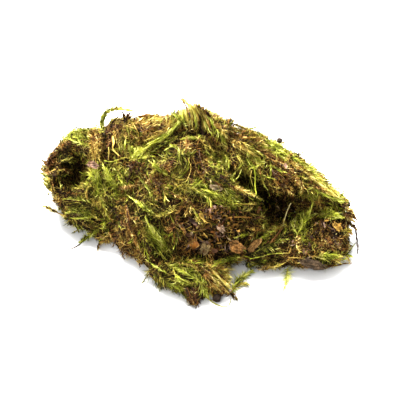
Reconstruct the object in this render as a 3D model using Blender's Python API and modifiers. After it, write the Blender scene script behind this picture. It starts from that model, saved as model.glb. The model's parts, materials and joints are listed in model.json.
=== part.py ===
"""A torn clump of moss that lies on its flat underside.

Lengths are in millimetres here and in metres in Blender.  In the working frame X runs
along the clump, Y away from the viewer and Z up from the surface it lies on; at the end
everything is moved so that the origin is under the middle of the clump's box.

The mats are lumps melted together, with locks of moss drawn out of their surface.
Shoots, twigs, scraps and crumbs are laid on the mats along routes in the reference
picture: a line of sight through each picture point finds the place on the mat.
"""
import math
import random

import bmesh
import bpy
from mathutils import Matrix, Vector
from mathutils.bvhtree import BVHTree

MM = 0.001

# The whole clump
CLUMP = "moss_clump"
BOX_CENTRE = (-1.23, -2.08)
GAP = 0.35  # air between neighbouring pieces
FLOOR_GAP = 0.15  # air under a loose piece that lies on the surface
SHARPEST_CORNER = 2.0  # how much further than the gap a sharp corner may be moved out
FLOOR_BLOCK = 400.0  # side of the block that cuts the underside flat
WELD_CUT = 0.001  # corners closer than this are one, after a cut
WELD_TUBE = 0.005  # and where a tube's ends are closed

# The reference picture's view, along +Y and downwards
PICTURE_SIDE = 400
FOCAL_PIXELS = 1104.0
EYE_ELEVATION = math.radians(42.0)
EYE_DISTANCE = 600.0
AIM_HEIGHT = 21.2

# How a mat is melted, roughened and drawn out
LUMP_SEGMENTS = 18
LUMP_RINGS = 12
VOXEL = 2.4
SOFTEN_PASSES = 5
SOFTEN_SHARE = 0.6
COARSE_RELIEF = 6.0
COARSE_SCALE = 17.0
FINE_RELIEF = 2.6
FINE_SCALE = 7.0
LOCK_SPACING = 7.5
LOCK_LENGTHS = (2.5, 5.5)
LOCK_SEED = 13  # which points of a mat are drawn out, and how far
LOCK_LEAN = 0.8
LOCK_FLOOR = 4.0  # no lock starts lower than this
LOCK_DROOP = -0.3  # nor where the surface faces further down than this
LOCK_UPRIGHT = 0.5  # a lock that leans further over than this is turned back up
ROUTE_CLEARANCE = 7.0  # in picture pixels, between a lock and a laid shoot

# Shoots: a row of leaf whorls with waists between them, swollen above the root end
SHOOT_STATIONS = 11
LEVEL_PASSES = 3
SHOOT_WAIST = 0.6
SHOOT_ROOT = 0.55
SHOOT_SWELL = 1.6
SHOOT_TAPER = 2.4
SHOOT_ROUNDING = 0.8
SHOOT_TIP = 0.22

# Twigs, from root end to tip
TWIG_STATIONS = 7
TWIG_FOOT = 1.15
TWIG_TAPER = 0.5

# Dead leaf scraps: how much they narrow towards their ends, and how fast
SCRAP_NARROWING = 0.55
SCRAP_FULLNESS = 2.2
SCRAP_ARCH = 0.6
CRUMB_ROUGHNESS = (0.8, 1.15)
CRUMB_SEED = 100

ROUGHNESS = 0.8  # of every piece's plain material

# Linear colours
LIME = (0.36, 0.45, 0.03)
OLIVE = (0.15, 0.15, 0.015)
GOLD = (0.25, 0.14, 0.02)
RUST = (0.13, 0.045, 0.012)
DARK = (0.022, 0.013, 0.007)
STRAW = (0.42, 0.30, 0.13)
MAUVE = (0.16, 0.10, 0.075)
ORANGE = (0.33, 0.12, 0.03)

# Hollows that open towards the viewer: centre x, y, z, half width, half depth along the
# line of sight, half height, and its turn in the picture in degrees
HOLLOWS = {
    "rolled_end": (-67, 14, 29.5, 10.5, 18, 11.5, 0),
    "flap_corner": (25, 3, 30.5, 12.5, 15, 6.5, -35),
}

# Each lump: centre x, y, z, half sizes x, y, z and its turn about Z in degrees.
# lean is the way the mat's locks point.
MATS = {
    "main_mat": {
        "faces": 1050,
        "colour": OLIVE,
        "lean": (0.15, -0.75, 0.35),
        "hollows": ["flap_corner"],
        "lumps": [
            (-8, 18, 22, 36, 34, 30, -10),
            (-5, 25, 38, 24, 15, 19, -10),
            (-2, 25, 46, 9, 10, 17, 0),
            (8, 22, 40, 13, 13, 18, 0),
            (-29, 25, 31, 18, 22, 23, 0),
            (-43, 27, 28, 13, 22, 22, 0),
            (0, -6, 24, 30, 26, 22, 0),
            (-24, -8, 14, 22, 22, 20, 0),
            (-34, -12, 5, 13, 13, 8, 0),
            (-21, -25, 5, 14, 13, 9, 0),
            (2, -20, 10, 25, 17, 16, 0),
            (18, -12, 13, 14, 17, 15, 0),
            (22, 23, 18, 16, 17, 21, 0),
        ],
    },
    "right_flap": {
        "faces": 700,
        "colour": GOLD,
        "lean": (0.6, -0.6, -0.1),
        "hollows": ["flap_corner"],
        "lumps": [
            (24, 13, 40, 15, 15, 13, -20),
            (38, 9, 36, 15, 13, 11, -20),
            (48, 6, 33, 13, 11, 9.5, -25),
            (57, 4, 30, 12, 10, 8, -25),
            (66, 1, 25, 10, 8, 6.5, -30),
            (73, -2, 20, 8, 7, 6, -30),
            (34, 28, 16, 17, 14, 21, -10),
            (50, 22, 12, 16, 12, 17, -20),
            (63, 14, 8, 13, 10, 12, -25),
            (45, 16, 25, 16, 10, 12, -20),
            (60, 9, 18, 12, 9, 10, -20),
        ],
    },
    "left_roll": {
        "faces": 650,
        "colour": GOLD,
        "lean": (-0.5, -0.4, 0.1),
        "hollows": ["rolled_end"],
        "lumps": [
            (-65, 30, 20, 17, 24, 18, 0),
            (-70, 30, 17, 10, 18, 16, 0),
            (-54, 26, 23, 13, 23, 20, 0),
            (-60, 8, 11, 17, 17, 13, 0),
            (-71, 16, 14, 10, 14, 14, 0),
            (-79, 17, 22, 6, 14, 13, 0),
            (-52, -2, 6, 12, 14, 9, 0),
            (-42, 2, 12, 12, 12, 13, 0),
        ],
    },
    "lower_right_mat": {
        "faces": 600,
        "colour": RUST,
        "lean": (0.35, -0.8, 0.1),
        "hollows": [],
        "lumps": [
            (35, -19, 5, 16, 15, 8, 0),
            (52, -20, 6, 19, 16, 10, 0),
            (66, -18, 7, 13, 15, 11, 0),
            (74, -9, 12, 7.5, 10, 11, 0),
            (50, 0, 2, 22, 12, 7, 0),
            (33, 6, 3, 13, 11, 7, 0),
        ],
    },
    "front_tuft": {
        "faces": 380,
        "colour": LIME,
        "lean": (0.1, -0.85, 0.0),
        "hollows": [],
        "lumps": [
            (-2, -36, 6, 18, 15, 9, 0),
            (-3, -50, 3, 7, 11, 6, 0),
            (-14, -37, 4, 13, 12, 8, 0),
            (9, -46, 3, 8, 7, 5, 0),
        ],
    },
}

# Shoots: radius, colour and route from root end to tip in picture pixels.
# A third number is the point's depth y in mm, for points seen against the background.
SHOOTS = {
    "crest_shoot": (2.0, LIME, [(150, 145), (158, 141), (166, 137), (172, 131), (178, 124), (184, 112)]),
    "crest_shoot_lower": (1.5, LIME, [(158, 148), (166, 143), (175, 138), (184, 133), (191, 127)]),
    "centre_curl": (1.4, LIME, [(167, 149), (172, 146), (177, 148), (180, 153), (179, 163)]),
    "left_arch": (
        1.3,
        OLIVE,
        [(101, 128, 36), (101, 120, 37), (104, 114, 38), (111, 110, 38), (119, 109, 38), (130, 111, 37)],
    ),
    "left_spray": (1.8, LIME, [(92, 131, 40), (86, 130, 40), (79, 130, 40), (72, 132, 39), (61, 138, 38)]),
    "left_plume_high": (1.8, LIME, [(98, 164), (97, 172), (96, 180), (95, 190)]),
    "left_plume_low": (1.6, OLIVE, [(98, 196), (101, 203), (105, 210), (109, 218)]),
    "left_plume_side": (1.7, LIME, [(104, 166), (108, 174), (112, 180), (119, 188)]),
    "left_bundle": (1.7, OLIVE, [(66, 214), (70, 211), (78, 211), (86, 213), (93, 215)]),
    "fan_shoot": (1.7, LIME, [(129, 161), (134, 157), (139, 152), (147, 147)]),
    "centre_shoot": (1.7, LIME, [(127, 195), (135, 201), (142, 206), (148, 211), (156, 214)]),
    "centre_short": (1.4, LIME, [(139, 177), (144, 184), (149, 190), (153, 199)]),
    "olive_plume": (1.9, OLIVE, [(163, 177), (175, 183), (185, 186), (195, 190), (203, 193), (209, 200)]),
    "bright_plume": (1.8, LIME, [(205, 190), (212, 193), (219, 196), (228, 200), (240, 207)]),
    "double_plume_left": (1.8, LIME, [(146, 219), (150, 228), (154, 236), (158, 244), (163, 252)]),
    "double_plume_right": (1.6, LIME, [(153, 228), (158, 236), (163, 243), (168, 251)]),
    "star_shoot": (1.5, GOLD, [(191, 206), (196, 213), (199, 220), (203, 229)]),
    "right_plume": (1.7, LIME, [(230, 140), (236, 145), (242, 149), (248, 152), (257, 157)]),
    "right_hook": (1.3, LIME, [(250, 146), (257, 151), (264, 155), (264, 160), (256, 164)]),
    "right_loop": (
        1.2,
        LIME,
        [(244, 161, 1), (239, 169, -2), (232, 175, -6), (232, 181, -10), (238, 179, -6), (241, 171, -3)],
    ),
    "gap_edge_plume": (1.6, OLIVE, [(233, 187), (241, 190), (248, 193), (263, 200, -5)]),
    "gap_tuft": (1.6, LIME, [(261, 238), (267, 235), (273, 231), (279, 226)]),
    "rising_plume": (
        1.9,
        LIME,
        [(296, 237), (300, 230, -20), (305, 222, -15.5), (310, 213, -10.5), (313, 204)],
    ),
    "right_flat_plume": (1.7, LIME, [(320, 212), (327, 213), (334, 214), (342, 217)]),
    "edge_plume": (1.6, LIME, [(300, 166), (312, 173), (323, 182), (334, 191), (346, 200)]),
    "front_blade": (1.2, LIME, [(214, 266), (221, 263), (230, 259)]),
    "front_left_blade": (1.4, LIME, [(147, 260), (155, 266), (163, 271), (170, 275)]),
    "ground_sprig_front": (1.2, LIME, [(229, 294), (233, 288), (238, 281), (245, 275), (252, 271)]),
    "ground_sprig_right": (1.6, LIME, [(288, 267), (287, 274), (286, 281), (284, 289)]),
    "ground_sprig_left": (1.2, OLIVE, [(100, 228), (94, 232), (88, 237), (82, 242)]),
}

# Twigs, bare stems and roots, given as the shoots are
TWIGS = {
    "end_twig": (0.45, DARK, [(354, 226, -7), (356, 234, -9), (358, 245, -14), (357.5, 254, -19.6)]),
    "bud_twig": (0.5, MAUVE, [(328, 266), (337, 265.5, -29.4), (344, 263.6, -28), (352, 263.2, -27.6)]),
    "tan_twig": (0.5, STRAW, [(291, 203, -3), (287.5, 210.6, -6), (285, 218, -9), (283, 227)]),
    "mauve_twig": (0.7, MAUVE, [(284, 227), (279, 233), (273, 240), (267, 248)]),
    "orange_stem": (0.7, ORANGE, [(127, 209), (128, 218), (130, 232), (134, 240), (138, 249)]),
    "tan_stem": (0.6, STRAW, [(113, 136), (114, 143), (113, 149), (119, 156)]),
    "top_twig": (0.5, DARK, [(110, 126, 33), (113, 122, 34), (117, 118, 35), (122, 113, 36)]),
    "high_stem": (0.7, GOLD, [(134, 121, 34), (141, 118, 35), (150, 116, 35), (160, 117, 34)]),
    "crest_tip": (0.5, RUST, [(190, 116), (186, 106, 28), (181, 99, 28), (178, 94, 28)]),
    "flap_stem": (0.7, GOLD, [(243, 138), (248, 138), (254, 138), (260, 139)]),
    "gap_stem": (0.6, ORANGE, [(228, 218), (240, 217), (252, 218)]),
    "front_root": (0.7, GOLD, [(205, 273), (212, 279), (219, 285), (226, 292)]),
    "yellow_strand": (0.6, LIME, [(254, 166, -1), (255, 175, -3), (255, 183, -5), (256, 195, -10.5)]),
}

# Dead leaf scraps and bark: picture point, length, width, thickness and curl in mm,
# turn in the picture in degrees (counterclockwise), colour
SCRAPS = {
    "bark_flake": ((312, 264), 13.0, 5.0, 1.3, 1.0, -18, MAUVE),
    "orange_leaf": ((237, 247), 8.5, 6.5, 0.6, 1.2, -40, ORANGE),
    "orange_leaf_long": ((254, 246), 10.0, 4.0, 0.7, 0.8, 42, ORANGE),
    "olive_leaf": ((205, 248), 6.5, 5.0, 0.6, 1.0, 65, OLIVE),
    "beige_flake": ((216, 188), 6.0, 3.0, 0.7, 0.5, -15, STRAW),
    "mauve_flake": ((93, 165, 9), 6.5, 4.0, 0.6, 0.6, -30, MAUVE),
    "pink_flake": ((221, 228), 5.0, 3.5, 0.8, 0.4, -50, STRAW),
    "tan_leaf": ((337, 227), 5.5, 3.5, 0.6, 0.8, -40, STRAW),
}

# Soil crumbs: picture point (with depth y where it is seen against the background), radius, colour
CRUMBS = {
    "crest_crumb": ((279.5, 140.5, 14.0), 1.5, DARK),
    "end_crumb": ((347.5, 204.5, -2.0), 1.7, DARK),
    "front_crumb": ((217, 298, -55.0), 2.0, DARK),
}


def clear_scene():
    for obj in list(bpy.data.objects):
        bpy.data.objects.remove(obj, do_unlink=True)


def eye_and_sight(pixel):
    """The eye's place and the line of sight through a picture point."""
    cos_e = math.cos(EYE_ELEVATION)
    sin_e = math.sin(EYE_ELEVATION)
    forward = Vector((0, cos_e, -sin_e))
    up = Vector((0, sin_e, cos_e))
    eye = Vector((0, 0, AIM_HEIGHT)) - forward * EYE_DISTANCE
    half = PICTURE_SIDE / 2
    sight = forward * FOCAL_PIXELS + Vector((1, 0, 0)) * (pixel[0] - half) - up * (pixel[1] - half)
    return eye, sight.normalized()


def picture_point(place):
    """Where a place in the working frame, in mm, is seen in the picture."""
    eye, forward = eye_and_sight((PICTURE_SIDE / 2, PICTURE_SIDE / 2))
    up = Vector((0, math.sin(EYE_ELEVATION), math.cos(EYE_ELEVATION)))
    offset = place - eye
    scale = FOCAL_PIXELS / offset.dot(forward)
    half = PICTURE_SIDE / 2
    return Vector((half + offset.x * scale, half - offset.dot(up) * scale))


def placed(pixel, surface, lift):
    """The place on the mats, or on the ground, seen at a picture point and lifted towards the eye."""
    eye, sight = eye_and_sight(pixel)
    reaches = [(lift + FLOOR_GAP - eye.z) / sight.z]
    hit = surface.ray_cast(eye * MM, sight)[0]
    if hit is not None:
        reaches.append((hit / MM - eye).length - lift - GAP)
    if len(pixel) == 3:
        reaches.append((pixel[2] - eye.y) / sight.y)
    return eye + sight * min(reaches)


def smooth_route(points, stations):
    """Points at even steps on a Catmull-Rom curve through a route."""
    ends = [points[0] * 2 - points[1]] + list(points) + [points[-1] * 2 - points[-2]]
    result = []
    spans = len(points) - 1
    for station in range(stations):
        along = station * spans / (stations - 1)
        span = min(int(along), spans - 1)
        t = along - span
        a, b, c, d = ends[span : span + 4]
        bend = (2 * a - 5 * b + 4 * c - d) * t**2
        twist = (3 * b - a - 3 * c + d) * t**3
        result.append((2 * b + (c - a) * t + bend + twist) / 2)
    return result


def linked(name, mesh, group):
    obj = bpy.data.objects.new(name, mesh)
    group.objects.link(obj)
    return obj


def apply_modifiers(obj):
    """Replace an object's mesh with what its modifiers make of it."""
    bpy.context.view_layer.update()
    graph = bpy.context.evaluated_depsgraph_get()
    mesh = bpy.data.meshes.new_from_object(obj.evaluated_get(graph))
    obj.modifiers.clear()
    obj.data = mesh


def cut_away(obj, cutter):
    """Take one closed mesh object out of another, and apply the cut."""
    cut = obj.modifiers.new("cut", "BOOLEAN")
    cut.operation = "DIFFERENCE"
    cut.solver = "EXACT"
    cut.object = cutter
    apply_modifiers(obj)


def keep_largest_body(obj):
    """Remove the crumbs of mesh that a cut may leave beside a piece."""
    bm = bmesh.new()
    bm.from_mesh(obj.data)
    bmesh.ops.remove_doubles(bm, verts=bm.verts, dist=WELD_CUT * MM)
    unseen = set(bm.verts)
    bodies = []
    while unseen:
        stack = [unseen.pop()]
        body = list(stack)
        while stack:
            for edge in stack.pop().link_edges:
                for vert in edge.verts:
                    if vert in unseen:
                        unseen.remove(vert)
                        stack.append(vert)
                        body.append(vert)
        bodies.append(body)
    if not bodies:
        raise ValueError(f"nothing is left of {obj.name}")
    bodies.sort(key=len)
    for body in bodies[:-1]:
        bmesh.ops.delete(bm, geom=body, context="VERTS")
    bmesh.ops.triangulate(bm, faces=bm.faces)
    bm.to_mesh(obj.data)
    bm.free()


def grown_copy(obj, margin, group):
    """A copy of a piece, swollen by a margin along its normals."""
    mesh = obj.data.copy()
    bm = bmesh.new()
    bm.from_mesh(mesh)
    bm.normal_update()
    for vert in bm.verts:
        vert.co += vert.normal * margin * MM * max(1.0, min(vert.calc_shell_factor(), SHARPEST_CORNER))
    bm.to_mesh(mesh)
    bm.free()
    return linked(obj.name + "_room", mesh, group)


def floor_block(group):
    """A block that takes away everything under the surface the clump lies on."""
    bm = bmesh.new()
    depth = FLOOR_BLOCK * MM
    bmesh.ops.create_cube(bm, size=depth, matrix=Matrix.Translation((0, 0, -depth / 2)))
    mesh = bpy.data.meshes.new("under_surface")
    bm.to_mesh(mesh)
    bm.free()
    return linked("under_surface", mesh, group)


def ellipsoid(bm, centre, radii, spin):
    place = Matrix.Translation(Vector(centre) * MM)
    size = Matrix.Diagonal((*(Vector(radii) * MM), 1))
    shape = place @ spin @ size
    bmesh.ops.create_uvsphere(bm, u_segments=LUMP_SEGMENTS, v_segments=LUMP_RINGS, radius=1, matrix=shape)


def clouds(scale):
    texture = bpy.data.textures.new(f"clouds_{scale:g}", "CLOUDS")
    texture.noise_scale = scale * MM
    return texture


def near_a_route(place):
    """Whether a place, in mm, is seen close to a laid shoot, twig or scrap."""
    seen = picture_point(place)
    for radius, colour, route in list(SHOOTS.values()) + list(TWIGS.values()):
        for start, end in zip(route, route[1:]):
            a = Vector(start[:2])
            b = Vector(end[:2])
            t = max(0.0, min(1.0, (seen - a).dot(b - a) / (b - a).length_squared))
            if (seen - a.lerp(b, t)).length < ROUTE_CLEARANCE:
                return True
    return any((seen - Vector(scrap[0][:2])).length < ROUTE_CLEARANCE for scrap in SCRAPS.values())


def draw_out_locks(obj, lean, seed):
    """Draw spaced points of a mat's surface out into locks of moss that lean one way."""
    chance = random.Random(seed)
    bm = bmesh.new()
    bm.from_mesh(obj.data)
    bm.normal_update()
    open_air = [vert for vert in bm.verts if vert.normal.z > LOCK_DROOP]
    candidates = [vert for vert in open_air if vert.co.z > LOCK_FLOOR * MM]
    chance.shuffle(candidates)
    lean = Vector(lean)
    taken = []
    pulls = []
    for vert in candidates:
        if any((vert.co - other).length < LOCK_SPACING * MM for other in taken):
            continue
        sight = eye_and_sight(picture_point(vert.co / MM))[1]
        if vert.normal.dot(sight) < 0 and near_a_route(vert.co / MM):
            continue
        taken.append(vert.co.copy())
        direction = (vert.normal + lean * LOCK_LEAN).normalized()
        if direction.dot(vert.normal) < LOCK_UPRIGHT:
            direction = (direction + vert.normal).normalized()
        pulls.append((vert, direction * chance.uniform(*LOCK_LENGTHS) * MM))
    for vert, pull in pulls:
        vert.co += pull
    bm.to_mesh(obj.data)
    bm.free()


def melt(obj):
    """Melt what overlaps or was cut into one closed skin."""
    skin = obj.modifiers.new("melt", "REMESH")
    skin.mode = "VOXEL"
    skin.voxel_size = VOXEL * MM
    apply_modifiers(obj)


def hollow_cutter(name, group):
    """A rounded block along the line of sight that opens a hollow in a mat."""
    x, y, z, rx, ry, rz, turn = HOLLOWS[name]
    bm = bmesh.new()
    spin = Matrix.Rotation(-EYE_ELEVATION, 4, "X") @ Matrix.Rotation(-math.radians(turn), 4, "Y")
    ellipsoid(bm, (x, y, z), (rx, ry, rz), spin)
    mesh = bpy.data.meshes.new(name)
    bm.to_mesh(mesh)
    bm.free()
    return linked(name, mesh, group)


def melted_lumps(name, spec, group, cutters):
    """Melt a mat's lumps into one rough closed solid, with its hollows."""
    bm = bmesh.new()
    for x, y, z, rx, ry, rz, turn in spec["lumps"]:
        ellipsoid(bm, (x, y, z), (rx, ry, rz), Matrix.Rotation(math.radians(turn), 4, "Z"))
    mesh = bpy.data.meshes.new(name)
    bm.to_mesh(mesh)
    bm.free()
    obj = linked(name, mesh, group)
    melt(obj)
    for hollow in spec["hollows"]:
        cut_away(obj, hollow_cutter(hollow, cutters))
        melt(obj)
    soften = obj.modifiers.new("soften", "SMOOTH")
    soften.factor = SOFTEN_SHARE
    soften.iterations = SOFTEN_PASSES
    for relief, scale in ((COARSE_RELIEF, COARSE_SCALE), (FINE_RELIEF, FINE_SCALE)):
        rough = obj.modifiers.new("rough", "DISPLACE")
        rough.texture = clouds(scale)
        rough.texture_coords = "LOCAL"
        rough.strength = relief * MM
        rough.mid_level = 0.5
    apply_modifiers(obj)
    thin = obj.modifiers.new("thin", "DECIMATE")
    thin.ratio = spec["faces"] / (2 * len(obj.data.polygons))
    apply_modifiers(obj)
    return obj


def make_mats(group, cutters):
    """All mats, each cut clear of those made before it, and the room each one takes."""
    under = floor_block(cutters)
    rooms = []
    mats = []
    for number, (name, spec) in enumerate(MATS.items()):
        mat = melted_lumps(name, spec, group, cutters)
        draw_out_locks(mat, spec["lean"], LOCK_SEED + number)
        for room in rooms:
            cut_away(mat, room)
        cut_away(mat, under)
        keep_largest_body(mat)
        rooms.append(grown_copy(mat, GAP, cutters))
        mats.append(mat)
        finish(mat, spec["colour"])
    return mats, rooms


def mat_surface(mats):
    """One search tree for lines of sight onto all mats."""
    bm = bmesh.new()
    for mat in mats:
        bm.from_mesh(mat.data)
    tree = BVHTree.FromBMesh(bm)
    bm.free()
    return tree


def raise_clear(centres, lift, surface):
    """Move the middles of a shoot towards the eye until the mats no longer hide them."""
    for i, centre in enumerate(centres):
        eye, sight = eye_and_sight(picture_point(centre))
        hit = surface.ray_cast(eye * MM, sight)[0]
        if hit is not None:
            reach = min((centre - eye).length, (hit / MM - eye).length - lift - GAP)
            centres[i] = eye + sight * reach
    return centres


def tube(name, centres, radii, group):
    """A closed tube of four flat sides through points, in mm, with a radius at each."""
    curve = bpy.data.curves.new(name, "CURVE")
    curve.dimensions = "3D"
    curve.bevel_depth = MM
    curve.bevel_resolution = 0
    curve.use_fill_caps = True
    spline = curve.splines.new("POLY")
    spline.points.add(len(centres) - 1)
    for point, centre, radius in zip(spline.points, centres, radii):
        point.co = (*(centre * MM), 1)
        point.radius = radius
    obj = linked(name, curve, group)
    bpy.context.view_layer.update()
    graph = bpy.context.evaluated_depsgraph_get()
    mesh = bpy.data.meshes.new_from_object(obj.evaluated_get(graph))
    bpy.data.objects.remove(obj, do_unlink=True)
    bm = bmesh.new()
    bm.from_mesh(mesh)
    bmesh.ops.remove_doubles(bm, verts=bm.verts, dist=WELD_TUBE * MM)
    bmesh.ops.recalc_face_normals(bm, faces=bm.faces)
    bm.to_mesh(mesh)
    bm.free()
    return linked(name, mesh, group)


def shoot_radius(radius, along):
    """A shoot swells above its root end and runs out to a fine tip."""
    swell = min(1.0, SHOOT_ROOT + SHOOT_SWELL * along)
    taper = min(1.0, SHOOT_TAPER * (1.0 - along)) ** SHOOT_ROUNDING
    return max(radius * swell * taper, SHOOT_TIP)


def level_out(centres, passes):
    """Even out a route's depth, so that it bridges the dips between bumps."""
    for _ in range(passes):
        kept = [centre.copy() for centre in centres]
        for i in range(1, len(centres) - 1):
            middle = (kept[i - 1] + kept[i + 1]) / 2
            centres[i] = kept[i].lerp(middle, 0.5)
    return centres


def lay_shoots(surface, group):
    shoots = []
    for name, (radius, colour, route) in SHOOTS.items():
        points = [placed(pixel, surface, radius) for pixel in route]
        centres = raise_clear(smooth_route(points, SHOOT_STATIONS), radius, surface)
        centres = raise_clear(level_out(centres, LEVEL_PASSES), radius, surface)
        radii = []
        for station, centre in enumerate(centres):
            whorl = 1.0 if station % 2 else SHOOT_WAIST
            radii.append(shoot_radius(radius, station / (SHOOT_STATIONS - 1)) * whorl)
            centre.z = max(centre.z, radii[-1] + FLOOR_GAP)
        shoot = tube(name, centres, radii, group)
        finish(shoot, colour)
        shoots.append(shoot)
    return shoots


def lay_twigs(surface, group):
    twigs = []
    for name, (radius, colour, route) in TWIGS.items():
        points = [placed(pixel, surface, radius) for pixel in route]
        centres = smooth_route(points, TWIG_STATIONS)
        shares = [TWIG_FOOT - TWIG_TAPER * station / TWIG_STATIONS for station in range(TWIG_STATIONS)]
        radii = [radius * share for share in shares]
        for centre, wide in zip(centres, radii):
            centre.z = max(centre.z, wide + FLOOR_GAP)
        twig = tube(name, centres, radii, group)
        finish(twig, colour)
        twigs.append(twig)
    return twigs


def lay_scraps(surface, group):
    scraps = []
    for name, (pixel, length, width, thickness, curl, turn, colour) in SCRAPS.items():
        bm = bmesh.new()
        bmesh.ops.create_grid(bm, x_segments=4, y_segments=2, size=1)
        for vert in bm.verts:
            x, y = vert.co.x, vert.co.y
            belly = 1.0 - SCRAP_NARROWING * abs(x) ** SCRAP_FULLNESS
            lift = curl * (y * y - SCRAP_ARCH * x * x)
            vert.co = Vector((x * length / 2, y * belly * width / 2, lift)) * MM
        mesh = bpy.data.meshes.new(name)
        bm.to_mesh(mesh)
        bm.free()
        scrap = linked(name, mesh, group)
        thick = scrap.modifiers.new("thick", "SOLIDIFY")
        thick.thickness = thickness * MM
        thick.offset = 0
        apply_modifiers(scrap)
        eye, sight = eye_and_sight(pixel)
        normal = surface.ray_cast(eye * MM, sight)[1] or Vector((0, 0, 1))
        facing = (normal - sight).normalized()
        across = Vector((1, 0, 0)) - facing * facing.x
        frame = Matrix((across.normalized(), facing.cross(across).normalized(), facing)).transposed()
        spin = Matrix.Rotation(math.radians(turn), 3, "Z")
        middle = placed(pixel, surface, curl + thickness) * MM
        scrap.data.transform(Matrix.Translation(middle) @ (frame @ spin).to_4x4())
        finish(scrap, colour)
        scraps.append(scrap)
    return scraps


def lay_crumbs(surface, group):
    crumbs = []
    for number, (name, (pixel, radius, colour)) in enumerate(CRUMBS.items()):
        chance = random.Random(CRUMB_SEED + number)
        bm = bmesh.new()
        bmesh.ops.create_icosphere(bm, subdivisions=2, radius=radius * MM)
        for vert in bm.verts:
            vert.co *= chance.uniform(*CRUMB_ROUGHNESS)
        centre = placed(pixel, surface, radius)
        centre.z = max(centre.z, radius * CRUMB_ROUGHNESS[1] + FLOOR_GAP)
        bmesh.ops.translate(bm, verts=bm.verts, vec=centre * MM)
        mesh = bpy.data.meshes.new(name)
        bm.to_mesh(mesh)
        bm.free()
        crumb = linked(name, mesh, group)
        finish(crumb, colour)
        crumbs.append(crumb)
    return crumbs


def overlapping(one, other):
    """Whether the boxes of two pieces meet."""
    a = [vert.co for vert in one.data.vertices]
    b = [vert.co for vert in other.data.vertices]
    margin = GAP * MM
    for axis in range(3):
        if min(v[axis] for v in a) > max(v[axis] for v in b) + margin:
            return False
        if min(v[axis] for v in b) > max(v[axis] for v in a) + margin:
            return False
    return True


def clear_of_each_other(pieces, rooms, cutters):
    """Cut each laid piece clear of the mats and of the pieces laid before it."""
    rooms = list(rooms)
    for piece in pieces:
        for room in rooms:
            if overlapping(piece, room):
                cut_away(piece, room)
        keep_largest_body(piece)
        rooms.append(grown_copy(piece, GAP, cutters))


def finish(obj, colour):
    """Give a piece its own plain material."""
    material = bpy.data.materials.new(obj.name)
    material.use_nodes = True
    shader = material.node_tree.nodes["Principled BSDF"]
    shader.inputs["Base Color"].default_value = (*colour, 1)
    shader.inputs["Roughness"].default_value = ROUGHNESS
    shader.inputs["Metallic"].default_value = 0.0
    obj.data.materials.clear()
    obj.data.materials.append(material)


def main():
    clear_scene()
    group = bpy.data.collections.new(CLUMP)
    cutters = bpy.data.collections.new("cutters")
    bpy.context.scene.collection.children.link(group)
    bpy.context.scene.collection.children.link(cutters)
    mats, rooms = make_mats(group, cutters)
    surface = mat_surface(mats)
    laid = lay_crumbs(surface, group) + lay_twigs(surface, group)
    laid += lay_scraps(surface, group) + lay_shoots(surface, group)
    clear_of_each_other(laid, rooms, cutters)
    for cutter in list(cutters.objects):
        bpy.data.objects.remove(cutter, do_unlink=True)
    bpy.data.collections.remove(cutters)
    shift = Matrix.Translation((-BOX_CENTRE[0] * MM, -BOX_CENTRE[1] * MM, 0))
    for piece in mats + laid:
        piece.data.transform(shift)


main()
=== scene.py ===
import json
import math

import bmesh
import bpy
import numpy as np
from mathutils import Matrix, Vector
from mathutils.bvhtree import BVHTree
from mathutils.kdtree import KDTree


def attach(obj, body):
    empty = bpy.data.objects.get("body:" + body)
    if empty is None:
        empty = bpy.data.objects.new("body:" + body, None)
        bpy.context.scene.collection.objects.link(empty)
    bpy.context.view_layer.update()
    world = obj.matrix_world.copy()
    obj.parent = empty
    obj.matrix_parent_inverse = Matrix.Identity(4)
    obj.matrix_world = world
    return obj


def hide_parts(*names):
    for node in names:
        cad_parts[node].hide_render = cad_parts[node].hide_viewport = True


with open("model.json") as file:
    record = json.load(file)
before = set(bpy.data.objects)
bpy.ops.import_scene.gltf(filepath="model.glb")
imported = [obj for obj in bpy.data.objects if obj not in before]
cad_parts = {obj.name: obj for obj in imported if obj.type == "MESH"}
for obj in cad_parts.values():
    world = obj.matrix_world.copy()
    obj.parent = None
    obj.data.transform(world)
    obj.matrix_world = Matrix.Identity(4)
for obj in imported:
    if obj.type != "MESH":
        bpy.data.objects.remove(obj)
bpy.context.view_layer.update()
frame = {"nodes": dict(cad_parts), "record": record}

# A clump of moss: mats covered in leafy shoots, with single plumes, twigs, scraps and crumbs
# laid on them.  Lengths are millimetres in the working frame, whose X runs along the clump,
# Y away from the viewer and Z up; meshes are moved to the row frame, in metres, when made.
# Picture points and sizes are pixels of the photograph.

MM = 0.001
BOX_CENTRE = np.array([-1.23, -2.08, 0.0])  # the row frame's origin in the working frame
GAP = 0.35  # mm between a mat and what lies on it
FLOOR_GAP = 0.15  # mm between the ground and what lies on it
LOWEST = 0.05  # mm above the ground, below which nothing reaches
SEED = 11
FULL_TURN = 6.28  # radians

# The photograph's view, along +Y and downwards
PICTURE_SIDE = 400
PICTURE_MIDDLE = PICTURE_SIDE / 2
FOCAL_PIXELS = 1104.0
SENSOR_WIDTH = 36
EYE_ELEVATION = math.radians(42.0)
EYE_DISTANCE = 600.0
AIM = np.array([0.0, 0.0, 21.2])
FORWARD = np.array([0.0, math.cos(EYE_ELEVATION), -math.sin(EYE_ELEVATION)])
UPWARD = np.array([0.0, math.sin(EYE_ELEVATION), math.cos(EYE_ELEVATION)])
RIGHTWARD = np.array([1.0, 0.0, 0.0])
EYE = AIM - FORWARD * EYE_DISTANCE
SKY_REACHES = np.arange(520.0, 680.0, 2.0)  # mm from the eye, from the clump's front to its back
LOWEST_SKY = 250.0  # below this picture row, what is beside the mats lies on the ground

FLOOR_COLOUR = (0.56, 0.56, 0.56)
SURROUND = 0.9
LIGHTS = [  # name, place in metres, size and power
    ("key", (-0.12, 0.43, 0.69), 0.55, 45.0),
    ("fill", (-0.30, -0.6, 0.5), 0.6, 5.5),
]

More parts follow.
